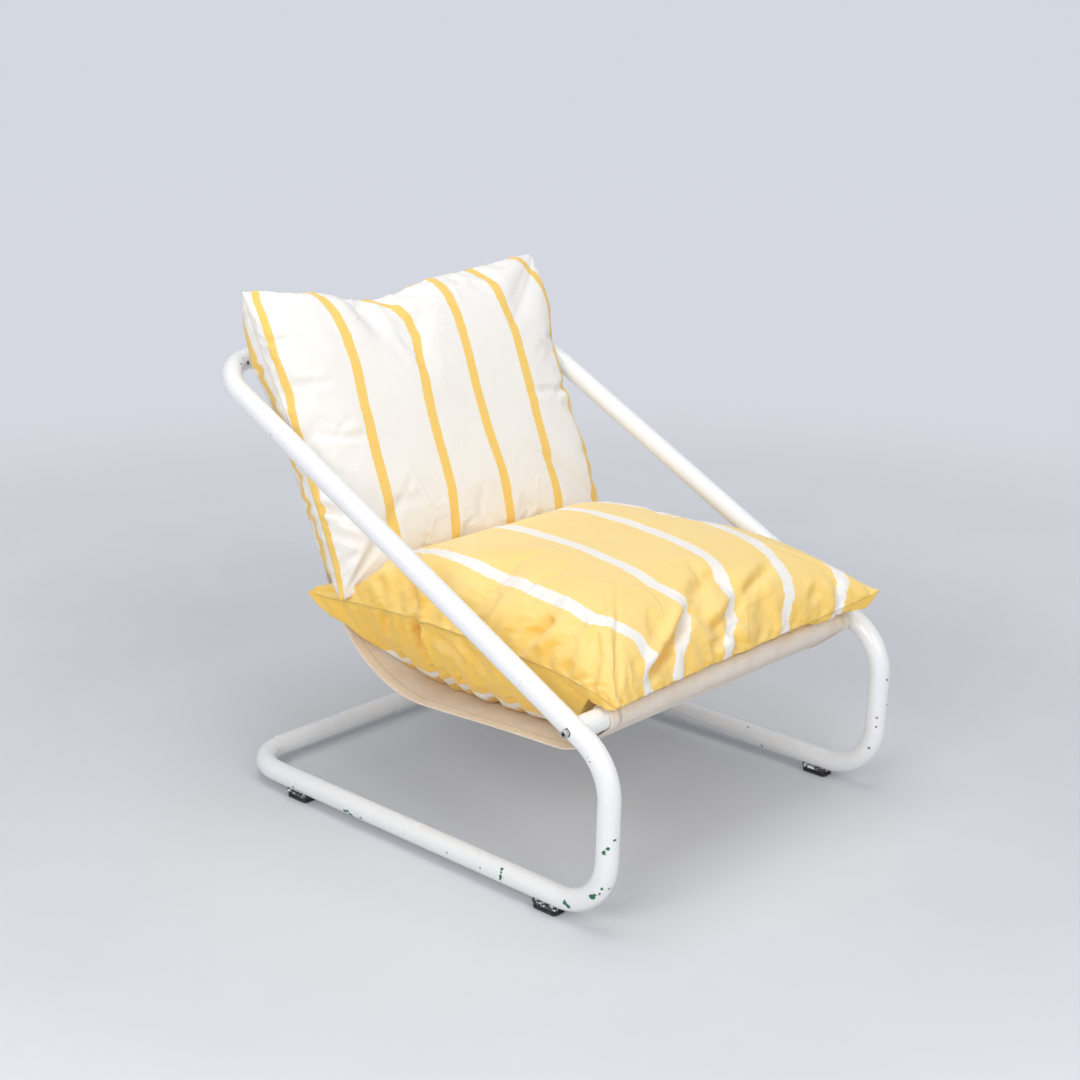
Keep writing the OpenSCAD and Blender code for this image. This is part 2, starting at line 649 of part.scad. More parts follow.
// The sewn lap starts where its second layer clears the tube
lap_from = sqrt(pow(sleeve_r, 2) - pow(sleeve_r - cloth_t, 2)) + sleeve_gap;
module sling() color("#d9c7ae") centred() {
    intersection() {
        cloth_block() {
            sling_path(cloth_t / 2, cloth_t / 2);
            sleeve_ring(rail_point);
            sleeve_ring(top_point);
            strip(sling_start + lap_from * heading(-sling_front_fall),
                sling_start + lap_len * heading(-sling_front_fall), cloth_t * 3 / 2, cloth_t / 2);
            strip(sling_end - lap_len * heading(sling_back_slope),
                sling_end - lap_from * heading(sling_back_slope), cloth_t / 2, cloth_t * 3 / 2);
        }
        sling_cut(0);
    }
    // The second layer of the hems stops where it meets the top sleeve
    intersection() {
        cloth_block() difference() {
            sling_path(cloth_t / 2, cloth_t * 3 / 2);
            translate(top_point) circle(r = cloth_r);
        }
        difference() {
            sling_cut(0);
            sling_cut(hem_w);
        }
    }
}

module seat_pillow(inset, edge) {
    n_across = len(seat_across) - 1;
    n_along = len(seat_along) - 1;
    polyhedron(
        points = [
            for (u = seat_across, v = seat_along) seat_point(u, v, 1, inset, edge),
            for (i = [1:n_across - 1], j = [1:n_along - 1])
                seat_point(seat_across[i], seat_along[j], -1, inset, edge)
        ],
        faces = pillow_faces(n_across, n_along)
    );
}
module back_pillow(inset, edge) {
    n_across = len(back_across) - 1;
    n_along = len(back_along) - 1;
    leaning() polyhedron(
        points = [
            for (u = back_across, v = back_along) back_point(u, v, 1, inset, edge),
            for (i = [1:n_across - 1], j = [1:n_along - 1])
                back_point(back_across[i], back_along[j], -1, inset, edge)
        ],
        faces = pillow_faces(n_across, n_along)
    );
}
// The back cushion's own frame: x across, y along its lean, z square to it towards the front
module leaning() translate([0, back_foot_at, back_z]) rotate([back_lean, 0, 0]) children();

module seat_cover() color("#f6cf63") centred() difference() {
    seat_pillow(0, 0);
    seat_pillow(cover_t, seam_allowance);
}
module seat_filling() color("whitesmoke") centred()
    seat_pillow(cover_t + fill_gap, seam_allowance + 3 * fill_gap);
module back_cover() color("#f5f2ec") centred() difference() {
    back_pillow(0, 0);
    back_pillow(cover_t, seam_allowance);
}
module back_filling() color("whitesmoke") centred()
    back_pillow(cover_t + fill_gap, seam_allowance + 3 * fill_gap);

// A closed zip along x, reaching out of its seam along +y and lying flat in z
module zip(len) {
    teeth = floor((len - 2 * stop_len) / tooth_pitch);
    first = -teeth * tooth_pitch / 2;
    translate([-len / 2, slider_gap, -tape_t / 2]) cube([len, tape_w + teeth_w / 2, tape_t]);
    for (i = [0:teeth - 1])
        translate([first + i * tooth_pitch, tape_w, -teeth_t / 2])
            cube([tooth_pitch / 2, teeth_w, teeth_t]);
    for (side = [-1, 1])
        translate([side * (len - stop_len) / 2 - stop_len / 2, tape_w, -teeth_t / 2])
            cube([stop_len, teeth_w, teeth_t]);
}
// A slider clasped round the teeth, open towards the seam for the tape
module slider() {
    outer_t = teeth_t + 2 * (slider_gap + slider_wall);
    outer_w = teeth_w + 2 * (slider_gap + slider_wall);
    difference() {
        translate([-slider_len / 2, tape_w - slider_gap - slider_wall, -outer_t / 2])
            cube([slider_len, outer_w, outer_t]);
        translate([-slider_len / 2 - overrun, tape_w - slider_gap, -teeth_t / 2 - slider_gap])
            cube([slider_len + 2 * overrun, teeth_w + 2 * slider_gap, teeth_t + 2 * slider_gap]);
        translate([-slider_len / 2 - overrun, 0, -tape_t / 2 - slider_gap])
            cube([slider_len + 2 * overrun, tape_w, tape_t + 2 * slider_gap]);
    }
}
// Places of the two zips: the seat's at the middle of its rear seam, the back's below
module at_seat_zip() translate([seat_shift, seat_zip_y, seat_zip_z]) children();
module at_back_zip() leaning() translate([back_shift - back_zip_shift, 0, 0]) mirror([0, 1, 0]) children();
function parked(len) = -(len - slider_len) / 2 + stop_len + slider_gap;

module seat_zip() color("#cfc6b4") centred() at_seat_zip() zip(seat_zip_len);
module seat_zip_slider() color("silver") centred() at_seat_zip()
    translate([parked(seat_zip_len), 0, 0]) slider();
module back_zip() color("#cfc6b4") centred() at_back_zip() zip(back_zip_len);
module back_zip_slider() color("silver") centred() at_back_zip()
    translate([parked(back_zip_len), 0, 0]) slider();

lower_frame();
upper_frame();
left_joint_spigot();
right_joint_spigot();
front_rail();
left_rail_plug();
right_rail_plug();
left_rail_bolt();
right_rail_bolt();
foot_plates();
front_left_foot();
front_right_foot();
rear_left_foot();
rear_right_foot();
foot_screws();
sling();
seat_cover();
seat_filling();
seat_zip();
seat_zip_slider();
back_cover();
back_filling();
back_zip();
back_zip_slider();
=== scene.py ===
import bpy
import numpy as np
from mathutils import Matrix


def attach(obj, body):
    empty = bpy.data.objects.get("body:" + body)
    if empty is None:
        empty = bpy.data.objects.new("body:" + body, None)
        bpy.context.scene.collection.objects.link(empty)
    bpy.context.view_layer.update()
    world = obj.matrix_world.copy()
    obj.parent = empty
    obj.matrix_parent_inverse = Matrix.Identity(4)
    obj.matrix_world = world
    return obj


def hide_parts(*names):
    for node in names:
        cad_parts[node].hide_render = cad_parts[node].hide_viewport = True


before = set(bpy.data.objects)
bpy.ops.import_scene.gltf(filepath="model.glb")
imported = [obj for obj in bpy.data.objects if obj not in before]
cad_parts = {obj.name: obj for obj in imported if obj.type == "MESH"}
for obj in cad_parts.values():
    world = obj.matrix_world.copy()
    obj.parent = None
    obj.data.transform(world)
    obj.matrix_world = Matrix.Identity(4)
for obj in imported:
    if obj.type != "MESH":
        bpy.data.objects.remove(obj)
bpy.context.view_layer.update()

# The view: the chair from its front left corner, seen from standing height through a lens
# long enough to keep its two runners nearly parallel.
def stood(thing, right, up, back, place):
    """Stands a camera or a lamp at a place, its own right, up and back along three directions."""
    thing.matrix_world = Matrix([*zip(right, up, back, place), (0, 0, 0, 1)])
    bpy.context.collection.objects.link(thing)


view_right = (0.678007, -0.734961, 0.011790)
view_up = (0.210276, 0.209301, 0.954975)
view_back = (-0.704337, -0.645001, 0.296452)
view_place = (-1.930481, -1.749640, 1.177309)
view = bpy.data.cameras.new("view")
view.sensor_width, view.lens = 36.0, 63.698
view.clip_end = 400.0
eye = bpy.data.objects.new("eye", view)
stood(eye, view_right, view_up, view_back, view_place)
bpy.context.scene.camera = eye

# The bent frame: mild steel tube of 30 mm, enamelled white over an older green coat, its front
# rail with it, and four plates welded under it for the feet. Knocks have taken the white off,
# down to the green on the lower tubes and to bare grey steel in other places.
class Wire:
    """One socket of a material's node tree. Sums on it add Math nodes; node() adds any other."""

    def __init__(self, tree, socket=None):
        self.tree, self.socket = tree, socket

    def node(self, kind, sockets=None, out=0, **settings):
        """A node of that kind: its settings first, then the value or link of each named socket."""
        made = self.tree.nodes.new(kind)
        stops = settings.pop("stops", None)
        for key, value in settings.items():
            setattr(made, key, value)
        if stops:
            ramp = made.color_ramp
            while len(ramp.elements) < len(stops):
                ramp.elements.new(1.0)
            for element, (at, colour) in zip(ramp.elements, stops):
                element.position, element.color = at, (*colour, 1.0)
        for key, value in (sockets or {}).items():
            entry = made.inputs[key]
            if isinstance(value, Wire):
                self.tree.links.new(value.socket, entry)
            elif entry.type == "RGBA" and len(value) == 3:
                entry.default_value = (*value, 1.0)
            else:
                entry.default_value = value
        return Wire(self.tree, made.outputs[out])

    def sum(self, operation, *values):
        """A Math node of that operation on those values, in their order."""
        return self.node("ShaderNodeMath", dict(enumerate(values)), operation=operation)

    def __add__(self, other):
        return self.sum("ADD", self, other)

    def __sub__(self, other):
        return self.sum("SUBTRACT", self, other)

    def __rsub__(self, other):
        return self.sum("SUBTRACT", other, self)

    def __mul__(self, other):
        return self.sum("MULTIPLY", self, other)

    def __truediv__(self, other):
        return self.sum("DIVIDE", self, other)

    __radd__, __rmul__ = __add__, __mul__

    def most(self, other):
        """The larger of this and another."""
        return self.sum("MAXIMUM", self, other)

    def size(self):
        """This without its sign."""
        return self.sum("ABSOLUTE", self)

    def rise(self, low, high):
        """0 below low, 1 above high, and a smooth step between them."""
        return self.node("ShaderNodeMapRange", {0: self, 1: low, 2: high, 3: 0.0, 4: 1.0},
                         interpolation_type="SMOOTHSTEP")

    def tint(self, under, over):
        """The colour under where this mask is 0, and over where it is 1."""
        return self.node("ShaderNodeMix", {0: self, 6: under, 7: over}, out=2, data_type="RGBA")

    def between(self, low, high):
        """A number that goes from low to high with this mask."""
        return self.node("ShaderNodeMix", {0: self, 2: low, 3: high}, data_type="FLOAT")

    def place(self):
        """The place on the piece, in metres."""
        return self.node("ShaderNodeTexCoord", out="Object")

    def attribute(self, name, out="Fac"):
        """What the mesh stores at each point under that name."""
        return self.node("ShaderNodeAttribute", out=out, attribute_name=name)

    def noise(self, scale, detail=3.0, rough=0.5, out="Fac"):
        """Soft noise at this place, with that many blots to each unit of it."""
        return self.node("ShaderNodeTexNoise", {"Vector": self, "Scale": scale, "Detail": detail,
                                                "Roughness": rough}, out=out)

    def stretched(self, by):
        """This place with each of its three numbers multiplied by its own."""
        return self.node("ShaderNodeVectorMath", {0: self, 1: by}, operation="MULTIPLY")

    def apart(self, point):
        """The distance from this place to a point."""
        return self.node("ShaderNodeVectorMath", {0: self, 1: point}, out="Value", operation="DISTANCE")

    def part(self, axis):
        """One of this place's three numbers."""
        return self.node("ShaderNodeSeparateXYZ", {0: self}, out=axis)

    def relief(self, depth, strength=1.0, under=None):
        """This height, in its own units, as a bump of that depth in metres."""
        sockets = {"Height": self, "Distance": depth, "Strength": strength}
        if under is not None:
            sockets["Normal"] = under
        return self.node("ShaderNodeBump", sockets)


def finish_of(name, **plain):
    """A new material with one Principled shader whose plain sockets are set: its wire, and a
    function that links wires to the shader's sockets and returns the material."""
    material = bpy.data.materials.new(name)
    material.use_nodes = True
    tree = material.node_tree
    shader = next(n for n in tree.nodes if n.type == "BSDF_PRINCIPLED")
    for key, value in plain.items():
        shader.inputs[key.replace("_", " ")].default_value = value

    def feed(**links):
        for key, wire in links.items():
            tree.links.new(wire.socket, shader.inputs[key.replace("_", " ")])
        return material

    return Wire(tree), feed


def dress(names, material):
    """Gives CAD nodes a material in place of their plain one."""
    for name in names:
        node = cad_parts[name]
        for slot in node.material_slots:
            slot.material = material


green_chips = [  # place and radius, in metres, of each knock that shows the green coat
    (-0.312, -0.3623, 0.0537, 0.0042), (-0.3105, -0.366, 0.0575, 0.0026), (-0.313, -0.3186, 0.0296, 0.0038),
    (-0.3125, -0.324, 0.0262, 0.0034), (-0.3019, -0.3886, 0.1368, 0.0022), (-0.3117, -0.3798, 0.1198, 0.0027),
    (-0.3091, -0.3839, 0.1257, 0.002), (-0.3094, -0.376, 0.0686, 0.002), (-0.3016, -0.3807, 0.0674, 0.0018),
    (-0.309, -0.2051, 0.0352, 0.0024), (-0.3117, -0.2058, 0.0310, 0.0022), (-0.3127, -0.2065, 0.0262, 0.0026),
    (-0.3127, -0.2052, 0.0223, 0.0022), (-0.3118, 0.0963, 0.0192, 0.0034), (-0.3098, 0.0861, 0.0158, 0.0038),
    (-0.3125, 0.090, 0.0215, 0.0026), (-0.312, 0.0629, 0.0197, 0.0022), (-0.3089, -0.3725, 0.0603, 0.0018)]
bolt_at = (-0.3162, 0.2594)  # y and z of the axis of both rail bolts
steel_chips = [  # the same, where bare steel shows; the two largest ring the bolts' heads
    (-0.2505, 0.3542, 0.609, 0.0032), (-0.2582, 0.3553, 0.6172, 0.0018), (-0.269, 0.3467, 0.6115, 0.0015),
    (-0.2361, 0.3689, 0.625, 0.0019), (0.2862, -0.383, 0.1209, 0.0013), (0.286, -0.3825, 0.1068, 0.0015),
    (0.2846, -0.374, 0.0718, 0.002), (0.2952, -0.3896, 0.1789, 0.0018), (0.3016, -0.3887, 0.1382, 0.0017),
    (0.2905, -0.1532, 0.038, 0.0017), (0.2849, -0.185, 0.0177, 0.0022), (-0.313, -0.3502, 0.2385, 0.0011),
    (-0.3130, *bolt_at, 0.0058), (0.3130, *bolt_at, 0.0058), (-0.313, -0.3552, 0.2335, 0.0009),
    (-0.3123, 0.2074, 0.0206, 0.0018), (-0.313, -0.1078, 0.0257, 0.0015), (-0.313, -0.1691, 0.0254, 0.0016),
    (-0.3127, 0.2341, 0.5364, 0.0013)]
enamel_white = (0.89, 0.892, 0.888)
old_green = (0.018, 0.16, 0.065)
bare_steel = (0.10, 0.10, 0.105)
wire, feed = finish_of("white enamel", IOR=1.5, Coat_Roughness=0.12)
place = wire.place()
tremble = place.noise(420.0, 2.0, out="Color").stretched((0.006, 0.006, 0.006))
frayed = wire.node("ShaderNodeVectorMath", {0: place, 1: tremble}, operation="ADD")
frayed = wire.node("ShaderNodeVectorMath", {0: frayed, 1: (0.003, 0.003, 0.003)}, operation="SUBTRACT")


def chipped(chips):
    """1 inside any of the chips, whose edges are frayed: the largest of radius less distance."""
    inside = None
    for x, y, z, radius in chips:
        depth = radius - frayed.apart((x, y, z))
        inside = depth if inside is None else inside.most(depth)
    return inside.rise(-0.0002, 0.0002)


patchy = place.noise(9.0, 2.0).rise(0.56, 0.66)
low = 1.0 - place.part("Z").rise(0.05, 0.20)
specks = place.noise(330.0, 2.0, 0.6).rise(0.745, 0.76) * patchy * low.between(0.25, 1.0)
chips_green = chipped(green_chips)
chips_steel = chipped(steel_chips).most(specks)
lost = chips_green.most(chips_steel)
grime = place.noise(5.0, 5.0, 0.65).rise(0.52, 0.80) * low.between(0.35, 1.0)
scuffed = place.stretched((1.0, 0.25, 0.25)).noise(60.0, 4.0, 0.7).rise(0.58, 0.74) * low.between(0.3, 1.0)
paint = (grime * 0.08).tint(enamel_white, (0.62, 0.58, 0.50))
paint = (scuffed * 0.06).tint(paint, (0.45, 0.45, 0.44))
paint = chips_steel.tint(paint, bare_steel)
paint = chips_green.tint(paint, old_green)
orange_peel = place.noise(170.0, 2.0)
enamel = feed(
    Base_Color=paint, Roughness=(lost * 0.3) + 0.27 + scuffed * 0.14, Coat_Weight=(1.0 - lost) * 0.35,
    Normal=(1.0 - lost).relief(0.0002, 0.8, orange_peel.relief(0.00025, 0.25)))
dress(["lower_frame", "upper_frame", "front_rail"], enamel)

wire, feed = finish_of("plate paint, chipped and dark below", IOR=1.5)
place = wire.place()
# The plates are white where this is 0 and near black where it is 1: in patches, and everywhere below 6.5 to
# 8.5 mm up.
chipped_and_dark_below = place.noise(150.0, 3.0, 0.65).rise(0.44, 0.50).most(1.0 - place.part("Z").rise(0.0065, 0.0085))
plate_paint = feed(
    Base_Color=chipped_and_dark_below.tint(enamel_white, (0.045, 0.045, 0.045)), Roughness=chipped_and_dark_below.between(0.35, 0.6),
    Normal=(1.0 - chipped_and_dark_below).relief(0.0002, 0.8))
dress(["foot_plates"], plate_paint)

# The fixings: steel spigots inside the two arm joints, tapped plugs in the ends of the front
# rail, the two cap screws that run through the arms into them, and the screws of the feet. All
# are drawn or zinc plated steel, a little rusty, with painted shade inside the cap screws' sockets.
wire, feed = finish_of("zinc plate", Metallic=1.0)
place = wire.place()
turned = place.stretched((900.0, 60.0, 60.0)).noise(1.0, 2.0)
rust = place.noise(240.0, 4.0, 0.7).rise(0.60, 0.72)
off_axis = place.stretched((0.0, 1.0, 1.0)).apart((0.0, *bolt_at))
# Painted shade: near black within the cap screws' sockets, round the bolts' axis, where the recess lies in
# shade.
socket_painted_shade = 1.0 - off_axis.rise(0.0024, 0.0029)
clean_zinc = turned.rise(0.3, 0.7).tint((0.46, 0.46, 0.455), (0.66, 0.655, 0.64))
zinc = feed(
    Base_Color=(rust * 0.7).most(socket_painted_shade * 0.95).tint(clean_zinc, (0.05, 0.035, 0.025)),
    Roughness=turned.between(0.26, 0.42) + rust * 0.3, Normal=turned.relief(0.00005, 0.4))
dress(["left_rail_bolt", "right_rail_bolt", "foot_screws"], zinc)

wire, feed = finish_of("drawn steel", Metallic=1.0)
place = wire.place()
drawn = place.stretched((400.0, 30.0, 30.0)).noise(1.0, 3.0)
dull = place.noise(30.0, 4.0).rise(0.45, 0.7)
clean_steel = drawn.rise(0.3, 0.7).tint((0.28, 0.28, 0.29), (0.44, 0.44, 0.45))
steel = feed(
    Base_Color=(dull * 0.6).tint(clean_steel, (0.15, 0.12, 0.10)),
    Roughness=dull.between(0.35, 0.6), Normal=drawn.relief(0.00005, 0.3))
dress(["left_joint_spigot", "right_joint_spigot", "left_rail_plug", "right_rail_plug"], steel)

# The feet: four moulded black rubber pads, each with a groove round its sole, held under its
# plate by one screw. They are dusty, and rubbed paler where they meet the floor.
wire, feed = finish_of("foot rubber", IOR=1.45)
place = wire.place()
dust = place.noise(70.0, 5.0, 0.7).rise(0.45, 0.75)
worn = 1.0 - place.part("Z").rise(0.0004, 0.003)
grain = place.noise(900.0, 2.0)
rubber = feed(
    Base_Color=(dust * 0.35 + worn * 0.3).tint((0.016, 0.016, 0.018), (0.16, 0.155, 0.15)),
    Roughness=dust.between(0.55, 0.8), Normal=grain.relief(0.0001, 0.4))
dress(["front_left_foot", "front_right_foot", "rear_left_foot", "rear_right_foot"], rubber)

# The sling: one width of beige cotton canvas, hemmed down both sides, with a sleeve sewn at
# each end. The sleeves go round the front rail and the top rail, and the cloth hangs between
# them in one long curve: down from the rail, back under the seat, and up the back.
rail = np.array([55.6974, 259.417])  # axis of the front rail, y and z in millimetres
top_rail = np.array([745.336, 610.806])
chair_middle = 371.902  # from the frame's front corner, where this y starts, to the origin
cloth_r = 15.9


def heading(angle):
    """The unit direction at an angle in degrees in the side view, y along and z up."""
    return np.stack([np.cos(np.radians(angle)), np.sin(np.radians(angle))], -1)


def meeting(p, a, q, b):
    """Where the line from p at angle a meets the line from q at angle b."""
    turn = np.sin(np.radians(b - a))
    return p + heading(a) * ((q - p)[0] * heading(b)[1] - (q - p)[1] * heading(b)[0]) / turn


front_fall, seat_fall, back_slope = 40.0, 2.5, 61.5
front_r, rear_r, seat_drop = 90.0, 195.0, 57.0
leaves_rail = rail - cloth_r * heading(90 - front_fall)
meets_top = top_rail + cloth_r * heading(90 + back_slope)
low_front = meeting(leaves_rail, -front_fall, rail - [0, seat_drop], -seat_fall)
low_rear = meeting(rail - [0, seat_drop], -seat_fall, meets_top, back_slope)
front_bite = front_r * np.tan(np.radians((front_fall - seat_fall) / 2))
rear_bite = rear_r * np.tan(np.radians((seat_fall + back_slope) / 2))
bend_from = low_front - front_bite * heading(-front_fall)
bend_to = low_front + front_bite * heading(-seat_fall)
rear_from = low_rear - rear_bite * heading(-seat_fall)
rear_up = low_rear + rear_bite * heading(back_slope)
front_middle = bend_from + front_r * heading(90 - front_fall)
rear_middle = rear_from + rear_r * heading(90 - seat_fall)
seam_at, lap, lift = 19.0, 15.0, 1.3
fold = np.degrees(np.arctan(seam_at / cloth_r))


def sling_side():
    """The cloth's path in the side view: a lap, round the front rail, down, back and up in
    straight lines and arcs, round the top rail, and a lap again. Each sleeve is a loop that
    leaves its rail along two tangents, which meet at the seam."""
    front_seam = leaves_rail + seam_at * heading(-front_fall) + lift * heading(90 - front_fall)
    top_seam = meets_top - seam_at * heading(back_slope) + lift * heading(back_slope - 90)
    pieces = [
        front_seam + np.linspace(lap, 0, 6)[:, None] * heading(-front_fall),
        rail + cloth_r * heading(np.linspace(-90 - front_fall + 2 * fold, 270 - front_fall, 40)),
        leaves_rail + np.linspace(0, 1, 14)[1:-1, None] * (bend_from - leaves_rail),
        front_middle + front_r * heading(np.linspace(-90 - front_fall, -90 - seat_fall, 10)[:-1]),
        bend_to + np.linspace(0, 1, 48)[:-1, None] * (rear_from - bend_to),
        rear_middle + rear_r * heading(np.linspace(-90 - seat_fall, -90 + back_slope, 34)[:-1]),
        rear_up + np.linspace(0, 1, 56)[:-1, None] * (meets_top - rear_up),
        top_rail + cloth_r * heading(np.linspace(90 + back_slope, back_slope - 270 + 2 * fold, 40)),
        top_seam - np.linspace(0, lap, 6)[:, None] * heading(back_slope),
    ]
    return np.concatenate(pieces)


def grid_faces(rows, columns):
    """The four-sided faces of a grid whose points are numbered along its columns."""
    i, j = np.meshgrid(np.arange(rows - 1), np.arange(columns - 1), indexing="ij")
    a = (i * columns + j).ravel()
    return np.stack([a, a + 1, a + columns + 1, a + columns], -1)


def build(name, points, faces, material):
    """A smooth mesh object at the origin from points in millimetres in the chair's own frame,
    where y starts at the front corner of the frame."""
    mesh = bpy.data.meshes.new(name)
    metres = (np.asarray(points, float) - [0, chair_middle, 0]) / 1000
    mesh.from_pydata(metres.tolist(), [], np.asarray(faces).tolist())
    mesh.polygons.foreach_set("use_smooth", np.ones(len(mesh.polygons), bool))
    if material:
        mesh.materials.append(material)
    mesh.update()
    thing = bpy.data.objects.new(name, mesh)
    bpy.context.collection.objects.link(thing)
    return thing


def write(thing, name, kind, values):
    """Stores one value at each point of a mesh, as a named attribute."""
    field = thing.data.attributes.new(name, kind, "POINT")
    field.data.foreach_set("value" if kind == "FLOAT" else "vector", np.asarray(values, float).ravel())


side = sling_side()
along = np.concatenate([[0], np.cumsum(np.linalg.norm(np.diff(side, axis=0), axis=1))])
tangent = np.gradient(side, axis=0)
tangent /= np.linalg.norm(tangent, axis=1)[:, None]
below = np.stack([tangent[:, 1], -tangent[:, 0]], -1)
near_seat = np.clip((side[:, 0] - rail[0]) / (rear_up[0] - rail[0]), 0, 1)
up_back = np.clip((side[:, 1] - rear_up[1]) / (top_rail[1] + 30 - rear_up[1]), 0, 1)
half_front, half_rear, half_top = 263.0, 251.0, 225.0
front_shift, rear_shift = 15.0, 3.0
low_half = half_front + (half_rear - half_front) * near_seat
low_centre = front_shift + (rear_shift - front_shift) * near_seat
in_back = (side[:, 0] >= rear_up[0]) & (side[:, 1] > rear_up[1])
half = np.where(in_back, half_rear + (half_top - half_rear) * up_back, low_half)
centre = np.where(in_back, rear_shift - rear_shift * up_back, low_centre)
hem, open_mark = 20.0, 99
edge_rows = [  # how far in from the edge, and how far under the cloth as a share of a layer
    (-hem, 1), (-hem * 0.6, 1), (-1.2, 1), (-0.2, 0.8), (0.0, 0.5), (0.6, 0.1), (4, 0), (10, 0), (20, 0)]
across = np.array([(-1, *row) for row in edge_rows]
                  + [(t, open_mark, 0) for t in np.linspace(-1, 1, 42)[2:-2]]
                  + [(1, *row) for row in edge_rows[::-1]])
sign, inward, turned_in = across.T
open_cloth = inward == open_mark
s = along[:, None] + 0 * sign
x = centre[:, None] + sign * np.where(open_cloth, half[:, None], half[:, None] - np.abs(inward))
from_edge = np.where(open_cloth, half[:, None] * (1 - np.abs(sign)), np.abs(inward))
free = (np.clip((along - 150) / 60, 0, 1) * np.clip((along[-1] - 150 - along) / 60, 0, 1))[:, None]
waves = 0.5 * np.sin(s / 17.0 + 0.9 * sign) + 0.4 * np.sin(s / 7.3 + 1.7 + sign)
ripple = waves * np.exp(-((from_edge - 18) / 9) ** 2)
slack = 0.9 * np.exp(-from_edge / 14) * (1 + np.sin(s / 61.0))
over_top = (along > along[np.argmin(np.linalg.norm(side - meets_top, axis=1))] - 25)[:, None]
down = 1.05 * turned_in + np.maximum(0, ripple + slack) * free - 0.95 * over_top * (from_edge < 21)
points = np.concatenate([x[..., None], side[:, None, :] + below[:, None, :] * down[..., None]], -1)

stitch_in = 17.0
wire, feed = finish_of("sling canvas", Roughness=0.8584, Sheen_Weight=0.12, Sheen_Roughness=0.5, IOR=1.42)
cut = wire.attribute("cut", "Vector")
edge = wire.attribute("from_edge")
seam = wire.attribute("from_seam")


def by_stitching(near, far):
    """1 within near of a hem's or a seam's line of stitches, and 0 beyond far, in millimetres."""
    return (1.0 - (edge - stitch_in).size().rise(near, far)).most(1.0 - seam.size().rise(near, far))


slub = cut.stretched((0.9, 0.05, 1.0)).noise(1.0, 3.0).most(cut.stretched((0.05, 0.9, 1.0)).noise(1.0, 3.0))
mottle = cut.noise(0.035, 5.0, 0.6)
soil = cut.noise(0.009, 4.0, 0.6).rise(0.48, 0.72)
thread = by_stitching(0.35, 0.6)
dip = by_stitching(0.4, 2.6)
canvas = slub.rise(0.35, 0.75).tint((0.7705, 0.6707, 0.5608), (0.8794, 0.7994, 0.6994))
canvas = (mottle.rise(0.4, 0.7) * 0.30).tint(canvas, (0.7012, 0.5915, 0.4816))
canvas = (soil * 0.22).tint(canvas, (0.5824, 0.4727, 0.3727))
# Painted shade: the canvas is darkened along the sunken lines of the hems' and seams' stitches, besides their
# dip as a bump.
canvas = (dip * 0.35).tint(canvas, (0.40, 0.31, 0.23))
canvas = (thread * 0.8).tint(canvas, (0.83, 0.78, 0.69))
canvas_finish = feed(Base_Color=canvas, Normal=(thread * 0.8 - dip + mottle * 0.3).relief(0.0007, 0.6))
sling = build("canvas_sling", points.reshape(-1, 3), grid_faces(len(side), len(across)), canvas_finish)
span = x - sign * np.where(turned_in > 0.6, 2 * inward, 0)
write(sling, "cut", "FLOAT_VECTOR", np.stack([span, s, 0 * s], -1))
write(sling, "from_edge", "FLOAT", from_edge)
front_sewn = along[np.argmin(np.linalg.norm(side - leaves_rail, axis=1))] + seam_at
top_sewn = along[np.argmin(np.linalg.norm(side - meets_top, axis=1))] - seam_at
sewn = np.min([np.abs(along - at) for at in (lap, front_sewn, top_sewn, along[-1] - lap)], axis=0)
write(sling, "from_seam", "FLOAT", sewn[:, None] + 0 * s)
skin = sling.modifiers.new("cloth thickness", "SOLIDIFY")
skin.thickness, skin.offset, skin.use_even_offset = 0.0009, 0.0, False
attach(sling, "chair")
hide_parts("sling")

# The seat cushion: a loose cotton bag, yellow with white stripes, stuffed with fibre and lying
# on the sling. It is cut as two squares sewn face to face, so its sides pull in between four
# ears, its crown is round, and its underside follows the sling. It has a zip at the rear.
def spaced(n):
    """n + 1 places from -1 to 1 that crowd together at both ends, as a sine does."""
    return np.sin(np.linspace(-np.pi / 2, np.pi / 2, n + 1))


def bow(u):
    """1 in the middle, falling to 0 at both ends as a fourth power."""
    return 1 - np.abs(u) ** 4


def flat_bow(u):
    """1 up to 0.85 of the way out, falling from there to 0 at both ends as a cube."""
    return 1 - np.maximum(0, (np.abs(u) - 0.85) / 0.15) ** 3


def swell(u, v, across, along):
    """How full a pillow is at u, v: the root of two falls, each 1 at the middle, 0 at a seam."""
    return np.sqrt(np.clip((1 - np.abs(u) ** across) * (1 - np.abs(v) ** along), 0, 1))


def sling_top(y):
    """Height and slope of the sling's upper face at a place y: three lines and two arcs."""
    front_turn = np.degrees(np.arcsin(np.clip((y - front_middle[0]) / front_r, -1, 1)))
    rear_turn = np.degrees(np.arcsin(np.clip((y - rear_middle[0]) / rear_r, -1, 1)))
    runs = [y < bend_from[0], y < bend_to[0], y < rear_from[0], y < rear_up[0]]
    slope = np.select(runs, [-front_fall, front_turn, -seat_fall, rear_turn], back_slope)
    climb, level = np.tan(np.radians(slope)), np.cos(np.radians(slope))
    z = np.select(
        runs,
        [leaves_rail[1] + (y - leaves_rail[0]) * climb, front_middle[1] - front_r * level,
         bend_to[1] + (y - bend_to[0]) * climb, rear_middle[1] - rear_r * level],
        rear_up[1] + (y - rear_up[0]) * climb)
    return z + 0.6 / level, slope


